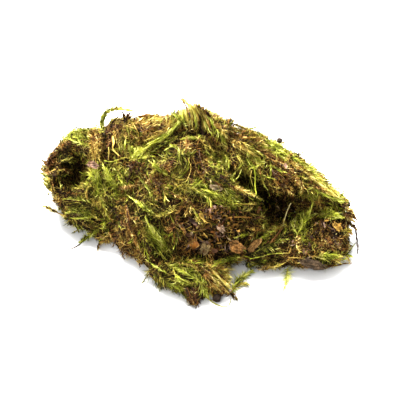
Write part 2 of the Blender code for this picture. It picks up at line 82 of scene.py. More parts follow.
MATS = ("main_mat", "right_flap", "left_roll", "lower_right_mat", "front_tuft")


def table(text):
    """The words of each row of a table."""
    return [line.split() for line in text.strip().splitlines()]


def numbers(words):
    """Words as numbers."""
    return [float(word) for word in words]


def route_of(words):
    """A route of picture points, each x,y or x,y,depth.

    The depth is along Y in mm, for where nothing carries what runs along the route.
    """
    return [tuple(numbers(word.split(","))) for word in words]


# Where a moss colour lies on the colour map: hue from mauve-brown to pale lime and tone from
# dark to straw-pale, each a range.  The tone is partly the moss's own lightness and partly
# painted light: dark, and deep where it lies in hollows, also stand for painted shade in hollows
# and gaps, and pale and wheat also for painted light on tops that catch it.  tall is the height
# of growth and leaf a leaf's length in mm, open how far leaves stand off their stem and curl how
# far they turn, in radians.
KIND_FIELDS = ("hue", "tone", "tall", "leaf", "open", "curl")
KINDS = {
    name: dict(zip(KIND_FIELDS, (numbers(row[:2]), numbers(row[2:4]), *numbers(row[4:]))))
    for name, *row in table("""
pale 0.93 1 0.56 0.8 2.4 3.9 0.45 0.8
lime 0.86 0.98 0.42 0.64 2.4 3.8 0.45 0.7
green 0.76 0.88 0.32 0.5 2 3.6 0.5 0.9
deep 0.66 0.82 0.1 0.26 1.2 3.3 0.6 0.9
olive 0.56 0.76 0.3 0.5 2 3.4 0.6 1.2
straw 0.5 0.62 0.48 0.7 2 3.4 0.6 1.2
wheat 0.54 0.64 0.66 0.84 2.4 3.9 0.45 0.8
gold 0.36 0.5 0.36 0.6 1.7 3.2 0.8 1.7
amber 0.3 0.42 0.5 0.72 1.7 3.2 0.8 1.6
tan 0.38 0.52 0.5 0.7 1.5 3 0.9 1.8
rust 0.23 0.35 0.3 0.54 1.5 3 0.8 1.6
brown 0.2 0.42 0.14 0.4 1.3 3 1 1.9
bleached 0.01 0.03 0.84 0.94 1.5 3 0.6 1.2
dark 0.2 0.7 0.02 0.12 0.4 2.6 1 1.6
""")
}

# Zones of the surface as seen in the picture: middle, half sizes, kinds, and the way the
# shoots run, in degrees counterclockwise from the picture's right, or any
# The dark zones lie over the hollows and gaps as painted shade, and the pale and wheat kinds stand
# partly for painted light where the tops catch it.
ZONES = [
    (numbers(sizes[:2]), numbers(sizes[2:]), kinds.split(","), None if way == "any" else float(way))
    for *sizes, kinds, way in table("""
71 168 18 21 dark,dark,dark,deep,brown any
56 150 7 6 rust,brown,brown 60
54 195 6 5 tan,gold 200
44 176 5 12 dark,brown,rust 150
58 190 8 8 deep,dark,gold 250
98 147 7 18 gold,rust,brown 270
109 134 5 5 brown,dark,rust any
108 154 6 5 dark any
96 178 7 15 pale,pale,wheat 265
111 180 9 11 pale,lime,pale,lime 300
126 187 15 4 amber,tan 5
76 210 18 9 deep,olive,dark,green 350
106 240 12 7 brown,tan,gold 330
130 226 9 20 rust,gold 285
138 153 11 9 lime,green 50
134 137 6 6 tan,gold,brown any
115 124 14 6 olive,olive,straw 60
150 119 12 5 wheat,wheat,amber 5
156 128 14 7 gold,straw,tan 30
170 140 18 6 deep,dark,deep 30
158 153 9 7 dark,brown any
174 152 8 8 green,lime any
194 139 9 4 pale,lime 5
187 147 5 6 amber,tan 80
203 105 8 3 rust,gold 150
193 118 14 12 wheat,wheat,pale 80
178 114 8 9 pale,pale,lime 60
202 131 3 9 dark any
199 165 8 13 brown,dark,gold 290
215 161 11 14 green,olive,straw 300
220 130 13 12 straw,lime,gold,wheat 300
155 180 8 9 tan,amber,tan 310
147 190 8 9 deep,olive,brown 300
142 207 15 8 deep,dark,deep 325
185 187 22 6 olive,lime 340
182 204 12 8 brown,olive,gold,dark 310
183 220 11 10 dark any
200 218 7 10 gold,lime 290
158 238 11 18 lime,lime,green 295
205 232 32 20 dark,dark,brown,gold,dark any
222 214 16 8 dark,brown,dark,dark any
228 199 14 6 lime,green 335
240 146 13 7 straw,lime,straw,wheat 330
254 162 10 8 wheat,pale,straw 300
231 166 6 9 deep,olive,dark 270
290 166 14 9 gold,rust,brown,brown any
262 151 9 5 gold,amber,straw 330
287 187 7 6 amber,rust 300
277 148 10 6 pale,straw 325
301 172 17 7 straw,pale,gold 322
331 191 18 8 straw,gold,lime 322
275 204 30 15 dark,dark,dark,brown any
246 183 13 8 dark,dark,deep any
240 208 14 6 deep,dark,dark 340
304 222 8 17 lime,pale,wheat 60
331 214 11 5 pale,pale,lime 355
325 232 17 11 dark,brown,dark,dark,rust any
302 250 15 7 gold,brown any
330 246 12 7 gold,rust any
347 226 8 8 rust,brown,olive 0
329 257 12 5 pale,wheat 5
278 245 18 8 deep,dark,deep,dark 20
267 261 18 5 deep,dark 10
311 264 12 4 brown any
188 273 18 12 lime,olive,green 320
214 281 11 11 wheat,tan,straw 315
163 270 13 8 deep,olive,green 325
195 299 6 8 brown,rust 300
148 251 9 10 straw,tan,olive 300
221 257 14 6 olive,green,gold 20
""")
]
ZONE_FALL = 0.9  # how quickly a zone fades out beyond its half sizes
ZONE_SWAY = 18  # degrees by which shoots stray from their zone's way
ELSEWHERE = ("olive", "gold", "straw", "green", "lime", "brown")
ELSEWHERE_WEIGHT = 0.05

# How leafy shoots are built: leaf length in mm, how far the leaves open at the foot, how many
# times as far as their kind's they curl, mm of stem to each leaf, leaf breadth, stem radius in
# mm and painted light: how much brighter the shoot is painted than its kind, a negative value
# being painted shade
STYLE_FIELDS = ("leaf", "open", "curl", "step", "width", "stem", "painted_light")
STYLES = {
    name: dict(zip(STYLE_FIELDS, numbers(row)))
    for name, *row in table("""
plume 4.7 0.5 1.3 0.18 0.85 0.24 0.04
spire 3.8 0.26 0.8 0.15 0.9 0.24 0.1
fan 4.2 0.62 0.7 0.17 0.75 0.24 0.1
bush 3.4 0.9 1.4 0.15 1 0.2 0.05
thin 1.9 0.35 0.8 0.2 0.9 0.22 0.05
fuzzy 1.9 1.1 1.3 0.09 1 0.24 0.1
blade 3.6 0.08 0.15 0.5 1.6 0.3 0.1
edge 3 0.75 0.8 0.12 1.5 0.2 0.18
sprig 4.2 1.1 0.6 0.16 1.3 0.24 0.16
strand 6.5 0.13 0.3 0.13 0.85 0.16 0.11
wisp 2 0.6 1 0.18 1.5 0.34 -0.14
""")
}
FEWEST_LEAVES = 6

# Shoots that replace the CAD's: name, reach of the CAD shoot in mm, kind, style, and the CAD
# route from foot to tip
SHOOTS = [
    (name, float(reach), kind, style, route_of(route))
    for name, reach, kind, style, *route in table("""
crest_shoot 2 lime strand 184,112 178,124 172,131 166,137 158,141 150,145
crest_shoot_lower 1.5 green spire 191,127 184,133 175,138 166,143 158,148
centre_curl 1.4 lime spire 179,163 180,153 177,148 172,146 167,149
left_arch 1.3 lime edge 101,128,36 101,120,37 104,114,38 111,110,38 119,109,38 130,111,37
left_spray 1.8 lime plume 92,131,40 86,130,40 79,130,40 72,132,39 61,138,38
left_plume_high 1.8 pale plume 95,190 96,180 97,172 98,164
left_plume_low 1.6 straw plume 98,196 101,203 105,210 109,218
left_plume_side 1.7 pale plume 119,188 112,180 108,174 104,166
left_bundle 1.7 lime plume 93,215 86,213 78,211 70,211 66,214
fan_shoot 1.7 pale fan 129,161 134,157 139,152 147,147
centre_shoot 1.7 lime spire 156,214 148,211 142,206 135,201 127,195
centre_short 1.4 lime spire 153,199 149,190 144,184 139,177
olive_plume 1.9 olive plume 163,177 175,183 185,186 195,190 203,193 209,200
bright_plume 1.8 lime plume 240,207 228,200 219,196 212,193 205,190
double_plume_left 1.8 pale spire 163,252 158,244 154,236 150,228 146,219
double_plume_right 1.6 pale spire 168,251 163,243 158,236 153,228
star_shoot 1.5 lime thin 203,229 199,220 196,213 191,206
right_plume 1.7 straw spire 230,140 236,145 242,149 248,152 257,157
right_hook 1.3 lime thin 250,146 257,151 264,155 264,160 256,164
right_loop 1.2 lime thin 244,161,1 239,169,-2 232,175,-6 232,181,-10 238,179,-6 241,171,-3
gap_edge_plume 1.6 straw spire 233,187 241,190 248,193 263,200,-5
gap_tuft 1.6 lime plume 279,226 273,231 267,235 261,238
rising_plume 1.9 pale plume 296,237 300,230,-20 305,222,-15.5 310,213,-10.5 313,204
right_flat_plume 1.7 lime spire 320,212 327,213 334,214 342,217
edge_plume 1.6 straw plume 300,166 312,173 323,182 334,191 346,200
front_blade 1.2 lime spire 230,259 221,263 214,266
front_left_blade 1.4 lime spire 170,275 163,271 155,266 147,260
ground_sprig_front 1.2 lime sprig 229,294 233,288 238,281 245,275 252,271
ground_sprig_right 1.6 pale sprig 288,267 287,274 286,281 284,289
ground_sprig_left 1.2 green edge 100,228 94,232 88,237 82,242
""")
]

# More shoots that lie on the mats: kind, style and the route from foot to tip
PLUME_TABLES = {
    "left": """
lime plume 93,140 84,138.5 74,137 63,138.5
lime plume 96,131 87,129 78,131 69,135
lime plume 92,147 84,144.5 76,142 69,139
green plume 91,135 83,134 75,134.5 66,137.5
olive spire 100,132 94,129.5 89,127.5
pale sprig 103,116,38 108,110.5,38 116,108.5,38 126,109.5,38 136,111.3,38
straw sprig 106,113,38 113,109,38 121,108,38
green edge 101,135 101,127,36 102,120,37 105,114,38 110,110.5,38
lime edge 103,133 102,125,36 103,118,37 107,113,38
brown edge 51,165 46,163 42,160
olive edge 51,170 46,168 42,165
gold edge 51,174 46,172 41,169
green edge 51,178 46,176 41,173
olive edge 52,182 47,180 42,177
deep edge 53,187 48,185 43,182
brown edge 54,152 50,162 49,172 52,184
rust edge 50,158 48,166 48,174
straw bush 55,192 51,190 47,187
rust bush 60,146 54,150 51,157
rust fuzzy 52,154 49,162 48,171
brown fuzzy 50,170 51,179 54,189
gold bush 71,143 63,144.5 56,149
green spire 61,191 60,184 57,175
gold bush 60,168 66,170 72,173
deep plume 58,162 66,160 75,161
deep thin 64,155 72,157 80,161
brown bush 58,192 66,194 76,194
lime plume 93,204 83,200.5 73,199 63,199.5
deep plume 95,208 86,205 77,203.5 68,203
deep plume 98,211 88,208 78,207 68,207
tan bush 62,202 57,200 52,196
gold bush 62,206 57,203 53,201
pale plume 101,196 98,186 96,176 95,167
lime plume 106,196 103,187 100,178
pale fan 120,188 114,182 108,176 104,169
pale fan 116,190 110,183 105,176
lime spire 97,218 88,217.5 80,218.5 71,218
lime plume 94,214 84,213 75,212 66,213
brown plume 84,216 75,214.5 66,214.5
green plume 100,220 93,216 86,213
green spire 98,224 92,221 85,219.5
olive edge 58,212 50,209 45,206.5
pale spire 98,188 94,180 91,172
pale spire 98,190 97,180 97,170
pale plume 96,188 100,199 105,208 108,217
olive plume 92,195 97,204 102,213
lime bush 107,215 105,221 104,228
green spire 100,192 107,196 113,194.5 117,188
pale fan 118,187 112,180 108,173
green thin 112,192 106,190 104,184 108,181
straw thin 88,201 86,193 89,186
olive thin 93,188 87,184 84,179
amber fuzzy 118,189 126,187.5 134,186 142,184
amber fuzzy 119,187 128,186 137,185
rust fuzzy 127,183 130,175 134,167
gold bush 94,129 93,138 92,148 93,158
gold bush 99,129 99,139 98,150 99,161
rust bush 103,130 103,140 102,150
tan fuzzy 96,135 96,146 97,158
brown bush 104,133 109,132 115,136
lime blade 134,156.5 124,157.5 117,160.5 112,162 107,161
lime blade 127,158 125,152 125,145 126,138
green edge 98,230 90,234 84,238 80,242
gold bush 115,238 107,240 99,242
tan bush 117,233 108,236 98,238
gold wisp 101,240 98,245 97.5,250
straw spire 111,231 117,230 123,229
rust thin 108,223 116,225 125,226
olive plume 112,222 117,230 121,238
olive plume 88,224 96,227 104,229
olive plume 118,127 118,136 119,146
olive plume 122,127 122,136 121,147
straw thin 114,127 115,134 117,142
brown plume 110,127 117,125 125,125
olive plume 112,165 118,170 123,178
olive bush 116,163 122,166 128,172
gold plume 112,198 119,203 125,210
brown bush 110,206 115,213 120,221
""",
    "centre": """
rust fuzzy 127,207 128,219 131,231 136,242
gold fuzzy 128,222 132,233 137,243 141,252
rust fuzzy 137,246 141,255 141,264
olive thin 130,243 135,247 141,250
pale fan 129,159 134,153 139,149
pale fan 130,160 137,155 145,150
lime fan 129,158 130,152 132,147
pale fan 131,160 139,158.5 147,156
pale strand 184,117 176,127 167,134 158,139 149,143
green strand 185,120 177,129 168,135 159,140 151,144
lime strand 184,112 178,121 171,129 163,136 154,141
straw strand 174,120 167,129 159,134.5 150,138.5
green fan 172,132 161,140 150,147
deep plume 186,131 177,137 168,142 159,147
wheat strand 199,124 196,113 190,106,28 185,101,28
wheat strand 198,118 194,111 188,105,28 184.5,102,28
gold strand 201,128 198,117 193,109,28
wheat strand 193,131 192,121 191,113 188,106,28
pale strand 196,132 196,122 194,112 192,107,28
wheat strand 190,130 188,120 186,111,29
pale strand 187,130 184,121 182,112,29
lime strand 186,128 180,121 174,115,30
pale fan 190,127 187,117 183,110,29
wheat strand 207,132 203,121 198,111,27
straw strand 211,132 207,121 201,111,27
lime strand 214,134 212,124 206,115,26
brown strand 204,138 201,127 199,116
dark strand 203,136 202,126 200,117
dark thin 214,141 211,133 207,124
amber wisp 209,114,26 201,108,27 194,104.5,27
rust wisp 213,119 206,112,26 199,106.5,26
gold plume 206,114 212,122 219,130
pale plume 203,116 207,125 212,134
lime thin 209,118 213,125 219,132
straw plume 214,120 221,128 226,136
pale plume 216,129 221,136 226,143
gold plume 209,128 213,137 217,146
olive plume 206,134 208,142 212,150
gold plume 229,136 228,127 229,120,23
brown edge 226,123,23 230,121,23 232,121,23
straw plume 196,136 202,142 206,149
gold plume 140,132 150,128 160,124
tan plume 143,137 152,133 161,131
rust bush 158,131 162,126 165,121
straw spire 140,127 150,125 158,125.5
wheat strand 139,122 148,119.5 158,118
wheat strand 142,125 151,122 161,120
olive plume 165,131 170,126 175,119
straw plume 133,137 142,138 152,138
gold edge 134,118,34 141,116.5,34 149,115,34 157,117,34
gold edge 136,124 140,121,34 146,124.5
gold wisp 150,126 151,121,34 154,117,34
brown edge 124,124,34 126,118,34 130,113,34
dark wisp 126,120,34 124,116,34 122.5,112,34
brown edge 123,122,34 127,119,34 131,117,34
green plume 165,178 176,177 184,172 187,163 183,154
green plume 168,174 177,172 182,165 181,156
green thin 170,170 176,167 178,160
lime thin 172,178 182,176 188,168 189,158
pale spire 203,137 195,137.5 188,138 183,139
pale spire 201,138.5 194,138.5 187,138.5
amber bush 189,152 187,146 184,142
brown plume 195,148 197,158 202,168
rust thin 199,150 201,162 206,172
brown plume 192,160 196,169 202,178
green plume 205,148 208,157 212,165
lime spire 222,152 222.5,161 222.5,172
lime bush 213,152 216,160 219,168
green plume 218,150 226,155 229,165
lime thin 207,160 212,165 218,168
olive plume 204,143 212,146 221,146
green plume 210,168 216,171 222,174
lime spire 170,176 162,172 156,167 149,161
lime thin 158,170 155,164 152,158
lime plume 168,174 160,169 153,164
olive plume 168,176 178,181 188,186 198,192
lime plume 194,188 202,193 207,199 210,204
lime thin 200,190 207,195 211,205
olive plume 170,182 180,187 190,192
rust bush 130,172 133,166 137,160
brown bush 136,174 139,168 143,164
tan bush 160,186 154,181 149,175
amber bush 158,178 152,179 146,183
tan thin 150,186 154,178 159,173
gold plume 163,184 157,178 153,172
olive plume 186,200 178,205 170,210 162,214 153,214
olive plume 180,207 171,213 160,217 150,215
deep plume 172,204 164,209 155,211 146,207
green thin 158,215 149,212 141,206.5 133,200 125,193.5
green thin 160,211 150,208 141,201
olive thin 166,212 157,206 149,203
lime spire 153,199 149,190 144,184 139,178
brown fuzzy 158,187 160,194 161,202
olive plume 163,186 165,194 165,203
deep plume 147,190 152,196 158,203
gold plume 168,192 177,196 186,199
gold bush 189,198 184,206 178,213
tan thin 191,201 188,208 184,215
gold bush 193,203 190,209 186,215
green plume 236,206 227,203 218,199 209,194
green thin 232,207 224,206 215,203
lime spire 234,204 226,200 215,194 204,190
brown plume 218,176 226,181 233,187
brown plume 206,178 214,182 223,187
lime fan 165,254 157,241 151,231 146,219
lime fan 168,256 161,244 155,234 149,225
lime spire 173,257 167,246 160,236 154,228
green plume 160,256 153,246 149,236 146,227
green plume 172,256 167,246 162,237 156,229
green bush 168,262 162,254 156,247
deep plume 178,256 173,248 168,240
gold bush 178,214 175,223 174,232 173,244
gold bush 176,224 171,229 166,231
rust thin 176,230 178,236 177,243
straw thin 204,229 198,219 193,209
straw thin 204,228 207,220 207,212
olive thin 202,230 195,232 189,230
straw bush 203,229 199,224 196,219
gold fuzzy 209,238 211,248 213,260
gold fuzzy 207,240 209,250 211,262
gold thin 193,234 192,244 190,252
gold bush 229,221 232,227 234,234
brown bush 150,246 152,254 156,262
rust bush 145,238 148,246 151,253
olive plume 137,225 142,232 146,240
""",
    "right": """
olive plume 243,141 250,147 258,153 266,158
gold plume 236,138 246,143 256,148
straw plume 233,137 242,146 250,152 259,157
straw thin 226,133 231,141 236,149
pale spire 266,158 262,163 256,166.5 252,168
pale fan 252,158 257,161 262,163
lime plume 244,150 252,156 261,160
olive plume 232,150 239,156 246,163
green thin 263,163 263,170 258,176
olive thin 252,167 250,174 252,182
lime thin 244,164 250,165 256,166
lime thin 262,180,-4 264,185,-5 268,190,-6
olive plume 230,123 237,125 245,129
olive bush 228,128 236,130.5 244,134
straw bush 231,126 237,128.5 244,131
gold plume 226,129 234,133 242,137
straw plume 234,124 242,128 250,131
pale plume 264,138 272,142 280,146.5
lime plume 272,143 280,147 288,152
gold plume 238,128 248,132 258,137
straw plume 240,127 250,130.5 261,137
gold plume 244,136 254,139 265,143
gold plume 250,141 260,147 270,153
lime plume 262,141 270,145 278,150 285,156
pale plume 268,143 277,148 287,154
lime plume 266,148 275,153 284,159
gold plume 258,150 268,156 276,163
pale plume 284,151 293,158 303,165
straw plume 282,157 292,163 302,170
green plume 296,157 303,162 309,168
pale plume 300,164 310,171 319,179
gold plume 296,168 306,175 316,182
lime plume 306,168 314,175 320,181
pale strand 316,177 326,185 335,192
wheat strand 304,172 316,181 328,190 338,197
wheat strand 292,163 303,171 314,180 324,188
gold strand 252,147 263,152 274,158 284,165
olive strand 237,139 246,145 256,151 265,157
gold plume 308,180 318,187 328,194
wheat strand 326,184 335,191 343,199
lime spire 312,188 324,194 336,199 349,202
lime spire 326,195 336,200 348,203
straw spire 318,186 328,192 340,198
rust thin 262,155 272,161 280,168
amber bush 278,163 287,168 296,174
rust bush 272,172 280,176 288,182
tan bush 285,172 294,178 300,186
amber bush 281,184 286,188 291,193
gold bush 283,182 288,186 292,190
gold thin 300,180 304,187 302,194
straw bush 301,182 303,189 301,195
green bush 309,190 313,195 316,198
lime spire 271,165 277,169 284,172
gold thin 228,184 236,188 245,191.5 255,197,-3
lime spire 320,213,-10 312,217,-13 306,222,-16 301,230,-20
olive thin 313,215,-11.5 312,222,-13 312,229,-15
pale plume 299,232,-20 304,223,-16 309,214,-11 312,206
pale plume 319,212 327,213 335,214
pale fan 320,215 329,216 338,217
pale spire 319,210 329,211.5 339,212.5
lime spire 321,216 331,218 342,218.5
amber edge 343,214 349,217 355,222
rust edge 345,221 351,224 356,229
rust edge 342,206 349,209 354,214
brown edge 344,213 350,214 356,219
rust edge 341,226 347,229 352,234
brown fuzzy 321,219 322,229 322,240
rust bush 338,228 341,236 342,245
amber edge 346,209 352,213 355.5,218
olive edge 340,232 346,231 351,230
straw bush 336,239 343,237 349,233
brown bush 331,230 336,235 340,240
rust bush 333,236 336,244 340,250
gold bush 325,238 330,245 333,251
gold bush 305,246 314,249 322,252
gold bush 296,236 297,244 299,252
olive bush 309,241 313,247 318,252
lime bush 312,257 322,256 333,256
lime bush 316,261 326,259 337,258
lime plume 322,254 331,254 339,256
straw plume 306,254 316,257 326,260
lime bush 275,233 269,236 262,240
straw plume 287,221 280,227 273,233
lime spire 253,234 245,235 236,237.5
green plume 262,247 271,244 280,240
deep plume 246,256 258,252 270,249
green bush 277,242 282,240 287,239
deep plume 258,246 268,248 280,250
lime blade 290,253 276,253.5 266,254.5 257,258.5 250,258.5 245,255.5
deep plume 244,264 254,262 264,261
green spire 246,267 256,264 266,261
gold thin 255,268 265,267 276,267
olive plume 262,270 270,268 280,265
gold thin 280,263 288,260 296,258
gold fuzzy 245,226 254,230 264,230.5 275,228
rust thin 252,220 260,217.5 268,220
gold thin 250,222 256,226 264,227
rust thin 270,218 273,223 270,229
deep plume 232,211 243,211 256,210
olive thin 246,205 254,204.5 263,203
brown fuzzy 294,199 302,201 309,207
""",
    "front": """
lime blade 173,267 175,275 180,281 188,285
pale plume 205,285 197,279 188,275 178,270
lime plume 204,278 196,272 187,268
straw plume 202,273 194,268 186,265
lime blade 198,272 195,267 192,262
green plume 200,284 190,283 180,280
lime plume 192,284 184,281 177,275
lime plume 196,276 202,286 206,294
lime spire 201,284 205,292 209,298
lime thin 205,280 207,288 207,295
olive plume 178,262 186,264 194,267
lime plume 166,264 174,268 182,273
green plume 158,275 168,283 179,288
olive plume 155,271 163,279 172,285
lime plume 164,280 173,286 183,290
lime spire 238,257 229,259 220,262.5 214,265.5
lime plume 234,255 225,258 216,261
lime bush 228,261 233,258 238,257
straw bush 214,270 220,268 224,270
tan bush 203,266 209,264 214,268
gold bush 204,272 210,270 215,273
tan strand 203,268 210,275 219,284 226,291
straw strand 206,265 214,273 222,281 229,288
wheat strand 210,267 218,276 226,285
gold strand 203,273 210,281 218,288
tan strand 214,268 221,276 228,284
brown thin 218,274 224,279 229,286
rust bush 220,286 224,290 228,293
rust fuzzy 185,286 189,296 194,304
brown bush 192,288 195,296 197,303
olive sprig 233,290 238,285 244,283 249,285
green sprig 234,284 240,278 246,274 252,272
dark edge 222,293 218,297 214,299
dark edge 229,292 233,296 237,299
""",
}
PLUMES = {
    region: [(kind, style, route_of(route)) for kind, style, *route in table(text)]
    for region, text in PLUME_TABLES.items()
}

# Bare stems and twigs that replace the CAD's: name, radius, kind and the CAD route
TWIGS = [
    (name, float(radius), kind, route_of(route))
    for name, radius, kind, *route in table("""
end_twig 0.45 dark 354,226,-7 356,234,-9 358,245,-14 357.5,254,-19.6
bud_twig 0.5 brown 328,266 337,265.5,-29.4 344,263.6,-28 352,263.2,-27.6
tan_twig 0.4 bleached 291,203,-3 287.5,210.6,-6 285,218,-9 283,227
mauve_twig 0.7 brown 284,227 279,233 273,240 267,248
orange_stem 0.7 rust 127,209 128,218 130,232 134,240 138,249
tan_stem 0.6 tan 113,136 114,143 113,149 119,156
top_twig 0.5 dark 110,126,33 113,122,34 117,118,35 122,113,36
high_stem 0.7 gold 134,121,34 141,118,35 150,116,35 160,117,34
crest_tip 0.5 rust 190,116 186,106,28 181,99,28 178,94,28
flap_stem 0.7 gold 243,138 248,138 254,138 260,139
gap_stem 0.6 rust 228,218 240,217 252,218
front_root 0.7 gold 205,273 212,279 219,285 226,292
yellow_strand 0.6 lime 254,166,-1 255,175,-3 255,183,-5 256,195,-10.5
""")
]

# Dead leaf scraps that replace the CAD's: picture point, length, width, thickness and curl
# in mm, turn in the picture in degrees, and colour
SCRAPS = {
    "bark_flake": ((312, 264), 13.0, 5.0, 1.3, 1.0, -18, (0.095, 0.066, 0.040)),
    "orange_leaf": ((237, 247), 8.5, 6.5, 0.6, 1.2, -40, (0.23, 0.125, 0.042)),
    "orange_leaf_long": ((254, 246), 10.0, 4.0, 0.7, 0.8, 42, (0.25, 0.15, 0.058)),
    "olive_leaf": ((205, 248), 6.5, 5.0, 0.6, 1.0, 65, (0.17, 0.125, 0.06)),
    "beige_flake": ((216, 188), 6.0, 3.0, 0.7, 0.5, -15, (0.26, 0.20, 0.13)),
    "mauve_flake": ((93, 165, 9), 6.5, 4.0, 0.6, 0.6, -30, (0.15, 0.088, 0.055)),
    "pink_flake": ((221, 228), 5.0, 3.5, 0.8, 0.4, -50, (0.38, 0.27, 0.18)),
    "tan_leaf": ((337, 227), 5.5, 3.5, 0.6, 0.8, -40, (0.38, 0.24, 0.06)),
}
SCRAP_THINNESS = 0.7  # of the CAD scrap's thickness
SCRAP_GRAIN = 900  # blotches and specks to the metre

# Soil crumbs that replace the CAD's: picture point and radius in mm
CRUMBS = {
    "crest_crumb": ((279.5, 140.5, 14.0), 1.5),
    "end_crumb": ((347.5, 204.5, -2.0), 1.7),
    "front_crumb": ((217, 298, -55.0), 2.0),
}
SOIL_COLOUR = (0.03, 0.018, 0.01)
SOIL_GRAIN = 1500

# Fine strands that stand out against the background: half width in mm, kind and route
HAIRS = [
    (float(half_width), kind, route_of(route))
    for half_width, kind, *route in table("""
0.26 brown 49,166,32 49,157,32 50.5,148,32
0.26 olive 100,127,38 91,122.5,38 82,121,38
0.22 olive 97,128,38 92,125,38 88,122.5,38
0.22 dark 91,129,38 87,127.5,38 82.5,125.5,38
0.22 brown 125,121,34 123,115,34 122,111,34
0.22 dark 127,120,34 129,114,34 131,112,34
0.24 rust 132,119 141,116,34 152,115,34 163,117,34
0.28 rust 157,122 158.5,118,33 164,116,33 170,116,33 176,120
0.22 olive 172,118 172,112,30 170,107,30
0.22 green 176,116 174,108,30 177,104,30 181,109,30
0.26 gold 200,122 196,113,28 187,102,28 178,94,28
0.22 rust 208,118 203,108,27 196,104,27 192,102,27
0.18 dark 227,121,24 226,116,24 224.5,111,24
0.3 olive 227,122,24 232,117,24 238,114.5,24 245,112.5,24
0.22 brown 209,121 214,116,26 221,115,26
0.3 olive 324,179 333,180.5,8 339,181,8 341.5,184,8 338,187.5,8
0.18 dark 326,181 333,182.5,7 340,186,7
0.26 brown 352,214,-3 356,219,-4 357,225,-5 355,231,-6
0.24 rust 350,210,-3 354.5,216,-4 358,221,-4
0.26 brown 354,224,-7 357,232,-8 356,241,-12 358.5,250,-16
0.3 brown 66,216 57,212.5 50,209 44,206.5 40,206.5
0.1 tan 171,273 173,271 175,270
0.1 tan 140,258 142,257 144,256
0.38 dark 86,236 80,244 72,248.5 64,250
0.34 olive 206,297 212,302 217,305 224,307 229,305 231,298
0.14 tan 112,137 112.5,143 112.5,147.5 115,151 118.5,155
0.25 rust 105,128 109,130.5 114,134
0.12 tan 94.5,144 95,152 96,162
0.16 tan 108.5,147 109,153 108,160
0.16 tan 132,121 135,127 138,133 139.5,141
0.1 tan 188,158 191,168 188,178 184,184
0.1 tan 193,158 196,167 194,176
0.12 tan 116,207 122,212 128,214
0.12 tan 180,229 186,229 192,226
0.1 tan 206,255 206.5,260 206,265
0.11 tan 226,218 236,217 248,218
0.13 gold 246,228 258,231 270,229 277,227
0.13 olive 234,204 244,204 254,204 263,202
0.16 rust 294,199 300,200 305,203 310,207
0.28 rust 235,204.5 241,204.5 247,205
0.2 gold 288,258 300,258 310,261 320,264 328,265
0.2 tan 209,197 210.5,202 211,207
0.09 brown 284,227 290,221 298,214
0.18 straw 252,170,-1 250.5,177,-3 253,186,-6
0.12 gold 262,180 264,185 267,190
0.1 tan 281,171 285,174 290,176
0.1 tan 279,174 283,177 286,181
0.12 brown 320,221 321,230 321.5,240
0.12 tan 274,270 281,265 290,260
0.13 gold 203,275 209,282 215,287 222,290
0.13 brown 213,275 218,280 222,284 228,289
0.13 gold 218,273 222,278 226,283 229,288
0.24 brown 229,288 234,294 238,299
0.24 brown 225,290 221,296 213,299
0.22 brown 187,287 191,297 196,306
0.22 brown 192,290 196,299 199,308
0.12 rust 133,240 138,250 141,258 142,264
0.12 rust 126,205 129,215 130,226 134,238
0.11 lime 243,163 240,168 236,171 231,176 231,180 235,182 239,178
0.1 lime 205,147 207,155 212,158
0.1 lime 208,165 212,167 216,168
0.1 gold 95,150 94,156 96,163
0.1 dark 242,141 248,145 254,150
0.1 dark 246,140 252,144 258,148
""")
]
HAIR_LIFT = 1.4  # mm above the mats
HAIR_GAIN = 1.4  # times their half width
HAIR_STATIONS = 12
HAIR_DRAWS = 200  # the number of their random draws
TWIG_STATIONS = 15

# Litter, where torn scraps lie thickly: picture ellipses, how many and how large
LITTER = [
    ((208, 233), (31, 23), 190, 1.0),
    ((208, 234), (26, 17), 24, 1.9),
    ((222, 214), (18, 8), 40, 1.0),
    ((224, 214), (14, 6), 3, 1.6),
    ((326, 232), (17, 14), 40, 1.0),
    ((326, 233), (10, 8), 4, 1.6),
    ((300, 250), (16, 6), 20, 1.0),
    ((76, 158), (12, 9), 10, 0.7),
    ((126, 118), (6, 5), 16, 1.0),
    ((200, 165), (9, 13), 26, 1.0),
    ((156, 180), (7, 7), 16, 1.0),
    ((285, 180), (14, 12), 36, 1.0),
    ((199, 112), (10, 7), 20, 1.0),
    ((100, 240), (14, 6), 12, 1.0),
    ((228, 292), (8, 5), 14, 1.0),
    ((262, 205), (30, 12), 24, 1.0),
]
LITTER_FORM = {  # lift is mm above the mats
    "tilt": 0.55,
    "length": (0.8, 1.5),
    "stretch": (0.8, 1.6),
    "breadth": (0.25, 0.65),
    "torn": (0.35, 1.15),
    "ragged": 0.14,
    "roll": (0.3, 1.9),
    "crumple": 0.12,
    "arch": (-0.35, 0.5),
    "lift": (0.4, 2.2),
}
FLAKE_LENGTHS = 4  # faces along a scrap of litter
FLAKE_BREADTHS = 3  # faces across it
GREY_SHARE = 0.36  # of the scraps; the others are brown
GREY_HUE = (0.0, 0.07)
BROWN_HUE = (0.12, 0.44)
PALE_LITTER_SHARE = 0.25  # of the scraps, times their size; the others are dull
PALE_TONE = (0.40, 0.60)
DULL_TONE = (0.04, 0.34)

# The colour map: the colours along its hue, and how wide a leaf is on it
HUES = [
    (0.00, (0.20, 0.140, 0.105)),
    (0.06, (0.12, 0.070, 0.045)),
    (0.13, (0.085, 0.042, 0.018)),
    (0.24, (0.20, 0.090, 0.024)),
    (0.35, (0.30, 0.175, 0.044)),
    (0.46, (0.37, 0.270, 0.066)),
    (0.54, (0.40, 0.335, 0.072)),
    (0.62, (0.27, 0.245, 0.040)),
    (0.74, (0.20, 0.210, 0.028)),
    (0.84, (0.25, 0.285, 0.030)),
    (0.92, (0.42, 0.425, 0.055)),
    (1.00, (0.57, 0.570, 0.100)),
]
